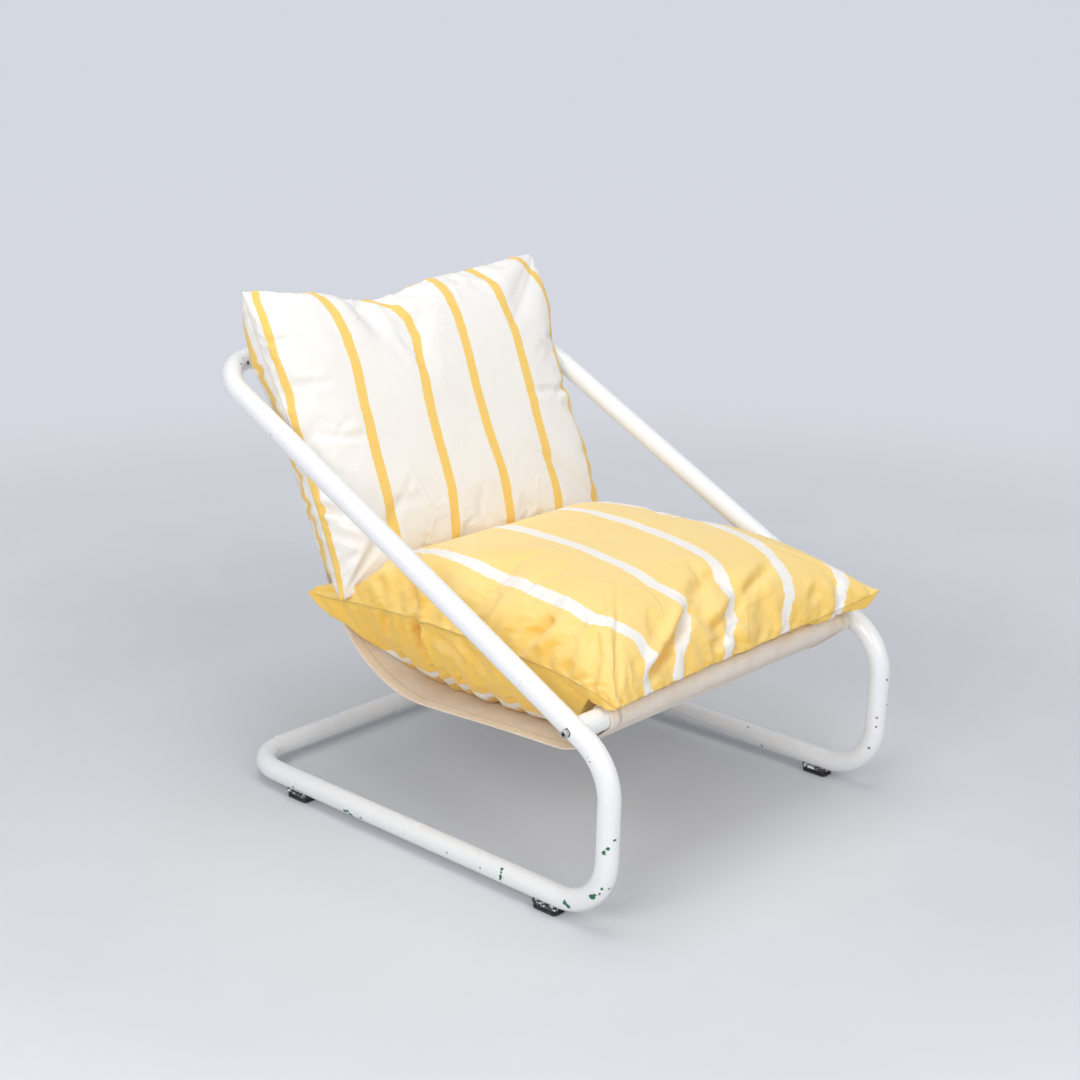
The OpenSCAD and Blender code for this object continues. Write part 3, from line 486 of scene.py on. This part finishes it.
def seat_floor(u, y):
    """The lowest that the cushion may hang: over the sling, and over the front rail's roof."""
    behind_rail = np.maximum(0, y - rail[0] - 24.5)
    before_rail = np.maximum(0, rail[0] - 16 - y)
    roof = rail[1] + 16.5 + 1.6 - 1.5 * behind_rail + 0.25 * before_rail
    cloth, slope = sling_top(y)
    return np.where(np.abs(u) < 0.95, np.maximum(roof, cloth + 0.4 / np.cos(np.radians(slope))), roof)


seat_front_half, seat_rear_half, seat_waist = 285.0, 275.0, 27.0
seat_crown, seat_belly = 106.0, 116.0


def seat_surface(u, v, face):
    """The seat cushion's upper (1) or lower (-1) face. In plan, a square whose sides bow in and
    whose corners lean; in height, the seam plus or less a swell, with ears that stand up at the
    rear corners and a near front corner that hangs, and no lower than what it lies on."""
    near = np.clip(-u, 0, 1) ** 3
    x = 3 + u * (seat_front_half * (1 - v) / 2 + seat_rear_half * (1 + v) / 2 - seat_waist * bow(v) * u * u)
    y = (2 + 32 * bow(u)) * (1 - v) / 2 + (585 - 47 * flat_bow(u)) * (1 + v) / 2
    seam_z = (rail[1] + 40 + 2.5 * u * (1 - v) - (12 - 9 * np.abs(u) ** 8) * (1 + v) / 2
              - (12 - 26 * near) * (1 - v * v) - 22 * bow(u) * (1 - v) / 2 * v ** 4
              + 6 * (np.clip(u, 0, 1) * np.clip(-v, 0, 1)) ** 6)
    ear = (np.abs(u) * np.clip(v, 0, 1)) ** 9
    corner = np.abs(u * v) ** 30
    near_front = (np.clip(-u, 0, 1) * np.clip(-v, 0, 1)) ** 5
    x = x - 7 * corner * np.where(v > 0, 1, np.where(u < 0, -1, 0)) + 22 * near_front
    y = y - 9 * corner * np.where(v > 0, 1, -np.clip(-u, 0, 1)) + 20 * near_front
    seam_z = seam_z + 13 * ear - 12 * near_front
    low = seat_floor(u, y)
    if face > 0:
        full = swell(u, v, 4.5 + 3 * np.clip(v, 0, 1) * np.clip(-u, 0, 1), 3.2 + 0.8 * np.clip(v, 0, 1))
        full = full + 0.13 * ear * swell(u, v, 24, 24)
        tucked = rail[1] + 38 + 108 * (1 - np.clip(((1 + v) / 2 - 0.860) / 0.045, 0, 1)) ** 1.5
        tucked = tucked + 60 * ear + 200 * np.clip(np.abs(u) - 0.96, 0, 1) * (v > 0)
        z = np.minimum(seam_z + seat_crown * full, tucked)
    else:
        front = 5 * np.clip(-v, 0, 1) ** 6
        full = swell(u, v, 2.8 + front, 3.2 + front) + 0.35 * ear ** 0.5 * swell(u, v, 24, 24)
        z = np.maximum(seam_z - seat_belly * full, low)
    rim = (np.abs(u) == 1) | (np.abs(v) == 1)
    return np.stack([x, y, np.where(rim, np.maximum(seam_z, low), z)], -1)


def pillow(surface, n):
    """Two faces of (n + 1) by (n + 1) points that share one seam: the points, the faces, each
    point's u, v and side, and the numbers of the upper and of the lower face's points."""
    places = spaced(n)
    u, v = np.meshgrid(places, places, indexing="ij")
    inner = np.zeros_like(u, bool)
    inner[1:-1, 1:-1] = True
    upper = np.arange(u.size).reshape(u.shape)
    lower = upper.copy()
    lower[inner] = u.size + np.arange(inner.sum())
    points = np.concatenate([surface(u, v, 1).reshape(-1, 3), surface(u, v, -1)[inner]])
    up = grid_faces(n + 1, n + 1)[:, ::-1]
    down = lower.ravel()[grid_faces(n + 1, n + 1)]
    where = np.concatenate([np.stack([u.ravel(), v.ravel(), np.ones(u.size)], -1),
                            np.stack([u[inner], v[inner], -np.ones(inner.sum())], -1)])
    return points, np.concatenate([up, down]), where, upper, lower


def run_across(points, numbers):
    """How far each point of one face lies from the near side seam, over the cloth: the sum of
    the steps along its row. Comes as a grid, u by v."""
    run = np.zeros(numbers.shape)
    run[1:] = np.cumsum(np.linalg.norm(np.diff(points[numbers], axis=0), axis=2), axis=0)
    return run


def from_traced(run, places, knots, rows, shares):
    """The distance over the cloth from the nearest stripe's middle, over that stripe's share of
    the full width. Each stripe is a row of u at the v of the knots, read off the run at that u."""
    nearest = np.full(run.shape, 1e3)
    for row, share in zip(rows, shares):
        at = np.interp(places, knots, row)
        middle = np.array([np.interp(at[j], places, run[:, j]) for j in range(len(places))])
        nearest = np.minimum(nearest, np.abs(run - middle) / share)
    return nearest


def from_even(run, middles):
    """The distance over the cloth from the nearest of several straight stripes."""
    return np.min([np.abs(run - middle) for middle in middles], axis=0)


def striped(points, upper, lower, even, knots, rows, shares):
    """At each point of a pillow, the distance over the cloth from the nearest stripe's middle:
    from even stripes on its lower face, and from traced ones on its upper."""
    stripes = np.zeros(len(points))
    stripes[lower] = from_even(run_across(points, lower), even)
    stripes[upper] = from_traced(run_across(points, upper), spaced(len(upper) - 1), knots, rows, shares)
    return stripes


seat_n = 176
seat_points, seat_faces, seat_where, seat_upper, seat_lower = pillow(seat_surface, seat_n)
stripe_v = np.array([-1.0, -0.95, -0.88, -0.80, -0.67, -0.31, 0.07, 0.33, 0.60, 0.80])
stripe_u = np.array([
    [-0.67, -0.61, -0.62, -0.69, -0.79, -0.785, -0.745, -0.73, -0.71, -0.73],
    [-0.43, -0.34, -0.24, -0.23, -0.29, -0.25, -0.19, -0.16, -0.17, -0.20],
    [-0.06, 0.04, 0.10, 0.12, 0.155, 0.22, 0.29, 0.33, 0.32, 0.29],
    [0.385, 0.46, 0.50, 0.52, 0.555, 0.60, 0.63, 0.63, 0.63, 0.63],
    [0.77, 0.84, 0.87, 0.87, 0.87, 0.87, 0.87, 0.87, 0.87, 0.87]])
seat_stripes = striped(
    seat_points, seat_upper, seat_lower, (107, 224, 341, 480), stripe_v, stripe_u, (1, 1, 1, 1, 1))


def folded(points, normals, shape, where, surface, folds):
    """Pushes points along their normals by a valley along each fold, with a soft ridge beside it:
    a difference of bell curves of the distance from the fold's line over the shape as it was cut,
    which fades at both ends. A fold is its face, its line as u and v pairs, its width, its depth,
    and how much of the ridge stands on its left, from 0 to 1."""
    u, v, side = where.T
    push = np.zeros(len(points))
    for face, line, width, depth, left in folds:
        line = np.array(line).reshape(-1, 2)
        steps = np.linspace(0, len(line) - 1, 8 * (len(line) - 1) + 1)
        line = np.stack([np.interp(steps, np.arange(len(line)), line[:, k]) for k in (0, 1)], -1)
        spine = surface(line[:, 0], line[:, 1], face)
        gap = np.linalg.norm(shape[:, None] - spine, axis=2)
        nearest = np.argmin(gap, axis=1)
        ahead = np.minimum(nearest + 1, len(line) - 1)
        run = line[ahead] - line[ahead - 1]
        aside = run[:, 0] * (v - line[nearest, 1]) - run[:, 1] * (u - line[nearest, 0])
        d = gap[np.arange(len(points)), nearest]
        t = nearest / (len(line) - 1)
        fade = np.clip(np.minimum(t, 1 - t) / 0.25, 0, 1) * 0.85 + 0.15
        valley = np.exp(-(d / width) ** 2)
        share = np.where(aside > 0, left, 1 - left)
        ridge = share * np.exp(-((d - 2.0 * width) / (1.2 * width)) ** 2)
        at_end = np.clip(1 - (d - width) / (3 * width), 0, 1)
        on_face = (side == face) | (np.maximum(np.abs(u), np.abs(v)) == 1)
        push += np.where(on_face, fade * at_end * depth * (ridge - valley), 0)
    return points + normals * push[:, None]


def puckered(points, normals, where, reach, depth, seed):
    """Small gathers that run in from the seams: a sum of sines of the place along each seam, whose
    size wanders and falls off with the distance from the seam."""
    u, v, side = where.T
    half_width = 290
    phases = np.random.default_rng(seed).uniform(0, 6.28, 8)
    push = np.zeros(len(points))
    for near, along_seam, first in ((1 - np.abs(u), v, 0), (1 - np.abs(v), u, 4)):
        run = along_seam * half_width
        d = half_width * np.sqrt(np.clip(near, 0, 1)) * 0.55
        end = np.where(u + v > 0, 1.7, 0.0) + np.where(side > 0, 0.0, 2.4)
        wave = (np.sin(run / 7.1 + phases[first] + end) + 0.8 * np.sin(run / 4.3 + phases[first + 1] + end)
                + 0.9 * np.sin(run / 12.7 + phases[first + 2] + 2 * end))
        wander = 0.5 + 0.5 * np.sin(run / 41 + phases[first + 3] + end)
        push += wave * wander * np.exp(-(d / reach) ** 1.5) * np.clip(d / 6, 0.25, 1)
    return points + normals * (push * depth)[:, None]


def normals_of(thing, points):
    """Writes points into a mesh, from the chair's millimetres, and gives its normals there."""
    thing.data.vertices.foreach_set("co", ((points - [0, chair_middle, 0]) / 1000).ravel())
    thing.data.update()
    normals = np.empty(points.size)
    thing.data.vertices.foreach_get("normal", normals)
    return normals.reshape(-1, 3)


def smoothed(field, times):
    """A field on a grid after that many passes of a 1-2-1 average along both of its ways."""
    for _ in range(times):
        for axis in (0, 1):
            field = np.moveaxis(field, axis, 0)
            wide = np.concatenate([field[:1], field, field[-1:]])
            field = np.moveaxis((wide[:-2] + 2 * wide[1:-1] + wide[2:]) / 4, 0, axis)
    return field


tube_r, arm_x, arm_slope, arm_gap = 15, 298, 27, 0.8


def clear_of_arms(points):
    """Pushes points straight away from the two sloping arms until they are clear of them."""
    along_arm = np.array([0, *heading(arm_slope)])
    for side_x in (-arm_x, arm_x):
        off = points - np.array([side_x, *rail])
        off = off - (off @ along_arm)[:, None] * along_arm
        away = np.linalg.norm(off, axis=1)
        points = points + off / away[:, None] * np.maximum(0, tube_r + arm_gap - away)[:, None]
    return points


def from_rim(where):
    """The distance from each point to the nearest seam: the root of how far it lies in, from 0
    at the seam to 1 in the middle, times the cloth's half width."""
    u, v, _ = where.T
    return np.sqrt(np.minimum(1 - np.abs(u), 1 - np.abs(v))) * 150


def doubled(field):
    """A field on a grid with a new row between every two, along both of its ways, each the
    nine-sixteenths mean of its two neighbours less a sixteenth of the next two."""
    for axis in (0, 1):
        field = np.moveaxis(field, axis, 0)
        wide = np.concatenate([2 * field[:1] - field[1:2], field, 2 * field[-1:] - field[-2:-1]])
        finer = np.empty((2 * len(field) - 1, *field.shape[1:]))
        finer[::2] = field
        finer[1::2] = (9 * (wide[1:-2] + wide[2:-1]) - wide[:-3] - wide[3:]) / 16
        field = np.moveaxis(finer, 0, axis)
    return field


def blown_up(surface, n, growth, pull, low_cap, high_cap):
    """How far each point of a pillow of 2n by 2n faces moves in a cloth simulation, which is run
    on one of n by n: the cloth a little larger than its shape, the seam drawn tight by its
    thread, and the fibre pressing from inside. The slow part of each move is capped closely, so
    that the form stays, and the quick part, the wrinkles, widely, less so towards the ears."""
    points, faces, where, upper, lower = pillow(surface, n)
    thing = build("blown up", points, faces, None)
    u, v, _ = where.T
    seam = thing.vertex_groups.new(name="seam")
    seam.add(np.flatnonzero(np.maximum(np.abs(u), np.abs(v)) > 1 - 1e-6).tolist(), 1.0, "REPLACE")
    held = thing.vertex_groups.new(name="held")
    held.add(np.flatnonzero((np.abs(u) > 0.985) & (np.abs(v) > 0.985)).tolist(), 1.0, "REPLACE")
    frames = 20
    cloth = thing.modifiers.new("cloth", "CLOTH")
    cloth.point_cache.frame_start, cloth.point_cache.frame_end = 1, frames
    cloth.collision_settings.use_collision = cloth.collision_settings.use_self_collision = False
    set_up = cloth.settings
    set_up.quality, set_up.mass = 4, 0.25
    set_up.tension_stiffness = set_up.compression_stiffness = 15
    set_up.shear_stiffness, set_up.bending_stiffness = 5, 0.2
    set_up.vertex_group_mass, set_up.vertex_group_shrink = "held", "seam"
    set_up.shrink_min, set_up.shrink_max = -growth, pull
    set_up.use_pressure, set_up.uniform_pressure_force = True, 4.0
    set_up.effector_weights.gravity = 0
    scene = bpy.context.scene
    for frame_number in range(1, frames + 1):
        scene.frame_set(frame_number)
    blown = thing.evaluated_get(bpy.context.evaluated_depsgraph_get()).data
    moved = np.empty(len(blown.vertices) * 3)
    blown.vertices.foreach_get("co", moved)
    scene.frame_set(1)
    mesh = thing.data
    bpy.data.objects.remove(thing)
    bpy.data.meshes.remove(mesh)
    move = moved.reshape(-1, 3) * 1000 + [0, chair_middle, 0] - points
    ears = np.abs(np.outer(spaced(n), spaced(n))) ** 5
    sides = []
    for numbers in (upper, lower):
        slow = smoothed(move[numbers], 40)
        quick = (move[numbers] - slow) * (1 - 0.8 * ears)[..., None]
        for part, cap in ((slow, low_cap), (quick, high_cap)):
            size = np.linalg.norm(part, axis=2)[..., None]
            part *= np.tanh(size / cap) * cap / np.maximum(size, 1e-9)
        sides.append(doubled(slow + quick))
    return np.concatenate([sides[0].reshape(-1, 3), sides[1][1:-1, 1:-1].reshape(-1, 3)])


cotton_yellow = (0.95, 0.60, 0.112)
# Painted light: the paler yellow given where the seat faces up, as if lit from above.
yellow_lit_top = (0.95, 0.715, 0.285)
cotton_white = (0.90, 0.865, 0.815)


def cotton(name, ground, lit_top, stripe, stripe_half, ragged):
    """Cotton of one colour, painted paler where it faces up as painted light from above, by the
    attribute painted_top_light, with printed stripes of another colour, which follow the cloth by
    the attribute stripe_mm, and a sewn edge where from_seam is near nought, in painted shade."""
    wire, feed = finish_of(name, Sheen_Weight=0.28, Sheen_Roughness=0.45, IOR=1.42)
    place = wire.place()
    off = wire.attribute("stripe_mm")
    seam_groove_and_shade = 1.0 - wire.attribute("from_seam").rise(0.2, 1.2)
    wander = (place.noise(22.0, 3.0, 0.6) - 0.5) * ragged
    wander = wander + (place.noise(110.0, 3.0, 0.7) - 0.5) * (ragged * 1.1)
    inside = 1.0 - (off + wander).rise(stripe_half - 0.55, stripe_half + 0.55)
    tone = place.noise(14.0, 5.0, 0.6).rise(0.3, 0.75)
    slub = place.stretched((60.0, 900.0, 900.0)).noise(1.0, 2.0)
    # Painted light from above: the ground colour goes to the paler one where the cloth faces up.
    body = (wire.attribute("painted_top_light") * tone.between(1.0, 0.75)).tint(ground, lit_top)
    print_colour = (tone * 0.4).tint(stripe, tuple(c * f for c, f in zip(stripe, (0.975, 0.95, 0.90))))
    colour = inside.tint(body, print_colour)
    colour = (slub.rise(0.45, 0.8) * 0.06).tint(colour, (1.0, 0.97, 0.88))
    # Painted shade: the cotton is darkened along the seam, in the groove that the bump sinks there.
    colour = (seam_groove_and_shade * 0.30).tint(colour, (0.62, 0.42, 0.14))
    fine = place.noise(70.0, 4.0, 0.65)
    crushed = place.noise(26.0, 4.0, 0.6)
    creased = 1.0 - (place.noise(7.0, 2.0, 0.45) - 0.5).size().rise(0.0, 0.022)
    creased = creased * place.noise(5.0, 1.0).rise(0.46, 0.62)
    height = crushed * 1.1 + fine * 0.4 + creased * 0.45 + slub * 0.08 - seam_groove_and_shade * 0.8
    return feed(Base_Color=colour, Roughness=tone.between(0.80, 0.90), Normal=height.relief(0.0024, 0.6))


seat_cotton = cotton("yellow cotton, white stripes", cotton_yellow, yellow_lit_top, cotton_white, 10.0, 5.5)
seat = build("seat_cushion", seat_points, seat_faces, seat_cotton)
seat_folds = [
    (1, (-0.19, -0.85, -0.28, -0.893, -0.42, -0.951, -0.545, -0.973, -0.66, -0.992), 8, 15, 0.1),
    (1, (0.10, -0.75, -0.07, -0.79, -0.19, -0.835), 13, 6, 0.2),
    (1, (0.47, -0.808, 0.30, -0.85, 0.166, -0.891), 9, 7, 0.3),
    (1, (0.154, -0.899, 0.0, -0.934, -0.14, -0.962), 9, 9, 0.1),
    (1, (0.09, -0.955, -0.066, -0.976, -0.17, -0.985), 7, 5, 0.5),
    (1, (0.655, -0.949, 0.586, -0.98), 8, 3.5, 0.5), (1, (0.80, -0.93, 0.78, -0.985), 7, 3, 0.5),
    (1, (-0.85, 0.60, -0.92, 0.52, -0.965, 0.43, -1.0, 0.34), 8.5, 23, 0.9),
    (-1, (-1.0, 0.34, -0.99, 0.35, -0.96, 0.37, -0.9, 0.38), 8.5, 23, 0.1),
    (-1, (-1.0, 0.56, -0.985, 0.59, -0.95, 0.64), 8, 9, 0.5),
    (-1, (-1.0, 0.44, -0.985, 0.46, -0.95, 0.50), 7, 8, 0.5), (1, (-0.95, 0.72, -1.0, 0.55), 8, 4, 0.5),
    (-1, (-0.998, 0.22, -0.985, 0.15, -0.97, 0.05), 8, 8, 0.5),
    (-1, (-0.999, 0.02, -0.985, -0.02, -0.95, -0.08), 8, 7, 0.5),
    (-1, (-1.0, -0.31, -0.985, -0.29, -0.95, -0.27), 8, 11, 0.3),
    (1, (-0.99, -0.36, -0.95, -0.40, -0.88, -0.46), 11, 10, 0.4),
    (-1, (-0.96, 0.62, -0.62, 0.60), 9, 8, 0.5), (-1, (-0.96, 0.40, -0.60, 0.42), 9, 9, 0.5),
    (-1, (-0.96, 0.18, -0.60, 0.16), 9, 7, 0.5), (-1, (-0.96, 0.0, -0.60, 0.02), 9, 7, 0.5),
    (-1, (-0.96, -0.18, -0.60, -0.20), 9, 6, 0.5), (1, (-0.85, 0.05, -0.93, 0.08), 9, 4, 0.5),
    (1, (0.98, 0.3, 0.90, 0.33), 9, 6, 0.5), (1, (0.97, -0.25, 0.90, -0.2), 9, 5, 0.5)]
seat_shape = seat_points
seat_points = seat_shape + blown_up(seat_surface, seat_n // 2, 0.03, 0.03, 4.0, 14.0)
seat_points = folded(
    seat_points, normals_of(seat, seat_points), seat_shape, seat_where, seat_surface, seat_folds)
seat_points = puckered(seat_points, normals_of(seat, seat_points), seat_where, 34, 1.8, 4)
u, _, face = seat_where.T
seat_points[:, 2] = np.maximum(seat_points[:, 2], seat_floor(u, seat_points[:, 1]) + 0.3)
tuck = (seat_points[:, 1] > 500) & (face > 0)
tuck_top = rail[1] + 46 + 700 * np.clip(np.abs(u) - 0.84, 0, 1)
seat_points[:, 2] = np.where(tuck, np.minimum(seat_points[:, 2], tuck_top), seat_points[:, 2])
seat_points = clear_of_arms(seat_points)
# Painted light from above: how far each point faces up, which pales the cotton there.
write(seat, "painted_top_light", "FLOAT", np.clip(normals_of(seat, seat_points)[:, 2], 0, 1) ** 0.7)
write(seat, "stripe_mm", "FLOAT", seat_stripes)
write(seat, "from_seam", "FLOAT", from_rim(seat_where))
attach(seat, "chair")
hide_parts("seat_cover", "seat_filling")

# The back cushion: its pair, in white cotton with six yellow stripes, leaning on the sling with
# its lower edge in the tuck of the seat cushion. Its top seam dips in the middle.
lean = 65.0
back_foot = np.array([511.0, rail[1] + 51])
back_half, back_high, front_bulge, rear_bulge = 290.0, 452.0, 40.0, 64.0


def back_surface(u, v, face):
    """The back cushion's front (1) or rear (-1) face: a leaning square whose sides bow in between
    the arms, swollen to both sides, the rear no further than the sling lets it."""
    waist = np.maximum(0, bow((v + 0.3) / 0.85))
    dent = np.maximum(0, 1 - ((u + 0.20) / 0.42) ** 2) ** 2
    corner = (np.abs(u) * np.clip(v, 0, 1)) ** 16
    x = 8 + u * (back_half - (13 + 6 * (u > 0)) * waist * u * u)
    x = x + 6 * np.clip(-u, 0, 1) * corner + 8 * np.clip(u, 0, 1) * np.clip(v, 0, 1) ** 2
    top = back_high - 22 * (1 - u * u) - 22 * dent - 4 * np.clip(u, 0, 1) ** 1.5
    up = top * (1 + v) / 2 - (6 + 4 * u) * corner
    if face > 0:
        out = front_bulge * swell(u, v, 8, 3.2)
    else:
        into_sling = heading(back_slope - 90)
        to_cloth = (meets_top + 0.6 * heading(90 + back_slope) - back_foot) @ into_sling
        room = (to_cloth - up * (heading(lean) @ into_sling)) / np.cos(np.radians(lean - back_slope)) - 0.4
        beside = np.clip((np.abs(x) - 236) / 16, 0, 1) * np.clip(1.3 - np.abs(v), 0, 1)
        out = -np.minimum(rear_bulge * swell(u, v, 12, 3), room + 15 * beside)
    yz = back_foot + up[..., None] * heading(lean) + out[..., None] * heading(lean + 90)
    return np.concatenate([x[..., None], yz], -1)


back_n = 160
back_points, back_faces, back_where, back_upper, back_lower = pillow(back_surface, back_n)
stripe_v = np.array([-1.0, -0.75, -0.45, -0.15, 0.17, 0.45, 0.65, 0.80, 0.92, 1.0])
stripe_u = np.array([
    [-0.999, -0.998, -0.998, -0.997, -0.993, -0.975, -0.962, -0.955, -0.95, -0.925],
    [-0.64, -0.637, -0.63, -0.62, -0.597, -0.56, -0.552, -0.562, -0.585, -0.61],
    [-0.25, -0.235, -0.20, -0.193, -0.18, -0.15, -0.10, -0.10, -0.125, -0.25],
    [0.155, 0.16, 0.172, 0.16, 0.17, 0.198, 0.214, 0.216, 0.207, 0.20],
    [0.53, 0.535, 0.53, 0.54, 0.56, 0.567, 0.55, 0.545, 0.525, 0.50],
    [0.88, 0.885, 0.90, 0.90, 0.91, 0.92, 0.928, 0.915, 0.865, 0.82]])
back_stripes = striped(
    back_points, back_upper, back_lower, (24, 121, 218, 315, 412, 509, 606), stripe_v, stripe_u,
    (0.66, 1, 1, 1, 1, 0.9))
# The second white is painted light: a paler white where the back cushion faces up.
back_cotton = cotton(
    "white cotton, yellow stripes", cotton_white, (0.90, 0.88, 0.845), (0.94, 0.63, 0.16), 8.8, 2.2)
back = build("back_cushion", back_points, back_faces, back_cotton)
back_folds = [
    (1, (-1.0, 0.655, -0.94, 0.641, -0.87, 0.64), 5, 3.5, 0.5),
    (1, (-1.0, 0.37, -0.84, 0.336, -0.74, 0.33), 6, 3, 0.5),
    (1, (-1.0, 0.05, -0.79, -0.028, -0.62, -0.04), 6, 3, 0.6),
    (1, (-0.57, -0.502, -0.42, -0.496), 8, 1.5, 0.5),
    (1, (1.0, 0.01, 0.83, -0.041, 0.51, 0.016), 7, 3.5, 0.6),
    (1, (-0.36, 1.0, -0.36, 0.88, -0.30, 0.64), 20, 8, 0.5),
    (1, (-1.0, -0.42, -0.97, -0.45, -0.90, -0.50), 6, 11, 0.4),
    (1, (-1.0, -0.58, -0.95, -0.62, -0.85, -0.70), 6, 7, 0.5),
    (1, (-1.0, -0.80, -0.90, -0.74), 6, 4, 0.5), (1, (0.03, 0.80, -0.10, 0.66), 16, 3, 0.5),
    (-1, (-1.0, -0.38, -0.97, -0.36), 7, 5, 0.5), (-1, (-1.0, -0.62, -0.97, -0.60), 7, 5, 0.5),
    (-1, (-1.0, 0.5, -0.97, 0.5), 7, 4, 0.5)]
back_shape = back_points
back_points = back_shape + blown_up(back_surface, back_n // 2, 0.02, 0.02, 3.0, 6.0)
back_points = folded(
    back_points, normals_of(back, back_points), back_shape, back_where, back_surface, back_folds)
back_points = puckered(back_points, normals_of(back, back_points), back_where, 24, 1.0, 9)
cloth_face = meets_top + 1.4 * heading(90 + back_slope)
behind = (back_points[:, 1:] - cloth_face) @ heading(back_slope - 90)
behind = behind - 15 * np.clip((np.abs(back_points[:, 0]) - 240) / 14, 0, 1)
back_points[:, 1:] -= np.maximum(0, behind)[:, None] * heading(back_slope - 90)
back_points = clear_of_arms(back_points)
# Painted light from above: how far each point faces up, which pales the cotton there.
write(back, "painted_top_light", "FLOAT", np.clip(normals_of(back, back_points)[:, 2] * 1.5, 0, 1))
write(back, "stripe_mm", "FLOAT", back_stripes)
write(back, "from_seam", "FLOAT", from_rim(back_where))
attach(back, "chair")
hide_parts("back_cover", "back_filling")

# The zips: woven tape sewn into each cushion's seam, a row of moulded teeth, and a nickelled
# slider that runs on them.
wire, feed = finish_of("zip tape", IOR=1.45)
place = wire.place()
fuzz = place.noise(600.0, 3.0)
zip_finish = feed(
    Base_Color=fuzz.rise(0.3, 0.7).tint((0.56, 0.50, 0.40), (0.72, 0.67, 0.57)),
    Roughness=fuzz.between(0.6, 0.85), Normal=fuzz.relief(0.0002, 0.5))
dress(["seat_zip", "back_zip"], zip_finish)
wire, feed = finish_of("nickelled slider", Metallic=1.0)
place = wire.place()
rubbed = place.noise(500.0, 4.0, 0.6).rise(0.4, 0.7)
slider_finish = feed(
    Base_Color=rubbed.tint((0.62, 0.60, 0.56), (0.40, 0.38, 0.35)), Roughness=rubbed.between(0.22, 0.45),
    Normal=rubbed.relief(0.00004, 0.4))
dress(["seat_zip_slider", "back_zip_slider"], slider_finish)

# The studio: a round grey floor that runs on as the backdrop, the same grey in the world round
# it, and three large soft boxes. Away from the chair the floor glows, where it is looked at.
ring_count, spokes = 40, 96
rings = np.concatenate([[0.0], np.geomspace(0.6, 160, ring_count)])
turns = np.linspace(0, 2 * np.pi, spokes + 1)[:-1]
floor_points = np.stack([np.outer(rings, np.cos(turns)), np.outer(rings, np.sin(turns)),
                         np.zeros((ring_count + 1, spokes))], -1)
starts = np.arange(ring_count) * spokes
closing = np.stack([starts + spokes - 1, starts, starts + spokes, starts + 2 * spokes - 1], -1)
near_grey = (0.65, 0.668, 0.715)
backdrop_grey = (0.655, 0.683, 0.75)


def looked_at(wire):
    """1 for a ray from the eye, off gloss or through glass, and 0 for one that only lights."""
    eye_ray = wire.node("ShaderNodeLightPath", out="Is Camera Ray")
    glossy = wire.node("ShaderNodeLightPath", out="Is Glossy Ray")
    return eye_ray.most(glossy).most(wire.node("ShaderNodeLightPath", out="Is Transmission Ray"))


wire, feed = finish_of("studio floor", Roughness=0.6, Specular_IOR_Level=0.25)
place = wire.place()
away = place.apart((0.0, 0.0, 0.0))
streaks = place.noise(3.0, 6.0, 0.6).rise(0.3, 0.8)
marks = place.stretched((1.0, 2.2, 1.0)).noise(11.0, 6.0, 0.7).rise(0.66, 0.78)
# Painted light: the floor's colour goes from a darker grey near the chair to a much paler one 0.7 to 1.6 m
# out, standing in for light there.
grey = away.rise(0.7, 1.6).tint((0.715, 0.73, 0.76), (0.92, 0.94, 0.98))
grey = (streaks * 0.12).tint(grey, (0.5, 0.51, 0.53))
floor_paint = feed(Base_Color=(marks * 0.12).tint(grey, (0.42, 0.42, 0.42)))
nodes = wire.tree.nodes
painted = Wire(wire.tree, next(n for n in nodes if n.type == "BSDF_PRINCIPLED").outputs[0])
ramp = wire.node("ShaderNodeValToRGB", {"Fac": away / 16.0}, stops=[
    (0.0, near_grey), (0.10, near_grey), (0.20, (0.668, 0.69, 0.75)), (1.0, backdrop_grey)])
glow = wire.node("ShaderNodeEmission", {"Color": ramp})
mixed = wire.node("ShaderNodeMixShader", {
    0: away.rise(1.0, 2.5) * looked_at(wire), 1: painted, 2: glow})
output = next(n for n in nodes if n.type == "OUTPUT_MATERIAL")
wire.tree.links.new(mixed.socket, output.inputs["Surface"])
floor = build("floor", floor_points.reshape(-1, 3) * 1000 + [0, chair_middle, 0],
              np.concatenate([grid_faces(ring_count + 1, spokes), closing]), floor_paint)

world = bpy.data.worlds.new("studio")
world.use_nodes = True
bpy.context.scene.world = world
wire = Wire(world.node_tree)
sky = looked_at(wire).tint((0.34, 0.35, 0.37), backdrop_grey)
backdrop = next(n for n in wire.tree.nodes if n.type == "BACKGROUND")
wire.tree.links.new(sky.socket, backdrop.inputs["Color"])


def soft_box(name, place, aim, width, power):
    """A square area lamp at a place, facing a point."""
    lamp = bpy.data.lights.new(name, "AREA")
    lamp.shape, lamp.size, lamp.energy = "SQUARE", width, power
    towards = np.array(place, float) - np.array(aim, float)
    back = towards / np.linalg.norm(towards)
    right = np.cross([0, 0, 1.0] if abs(back[2]) < 0.99 else [0, 1.0, 0], back)
    right /= np.linalg.norm(right)
    stood(bpy.data.objects.new(name, lamp), right, np.cross(back, right), back, place)


soft_box("left box", (-2.7, -0.9, 1.8), (0, 0, 0.3), 1.6, 35)
soft_box("right box", (-0.6, -2.8, 1.9), (0, 0, 0.3), 1.6, 26)
soft_box("top box", (-0.2, 0.1, 3.1), (0, 0, 0), 1.9, 33)

bpy.context.scene.view_settings.view_transform = "Standard"
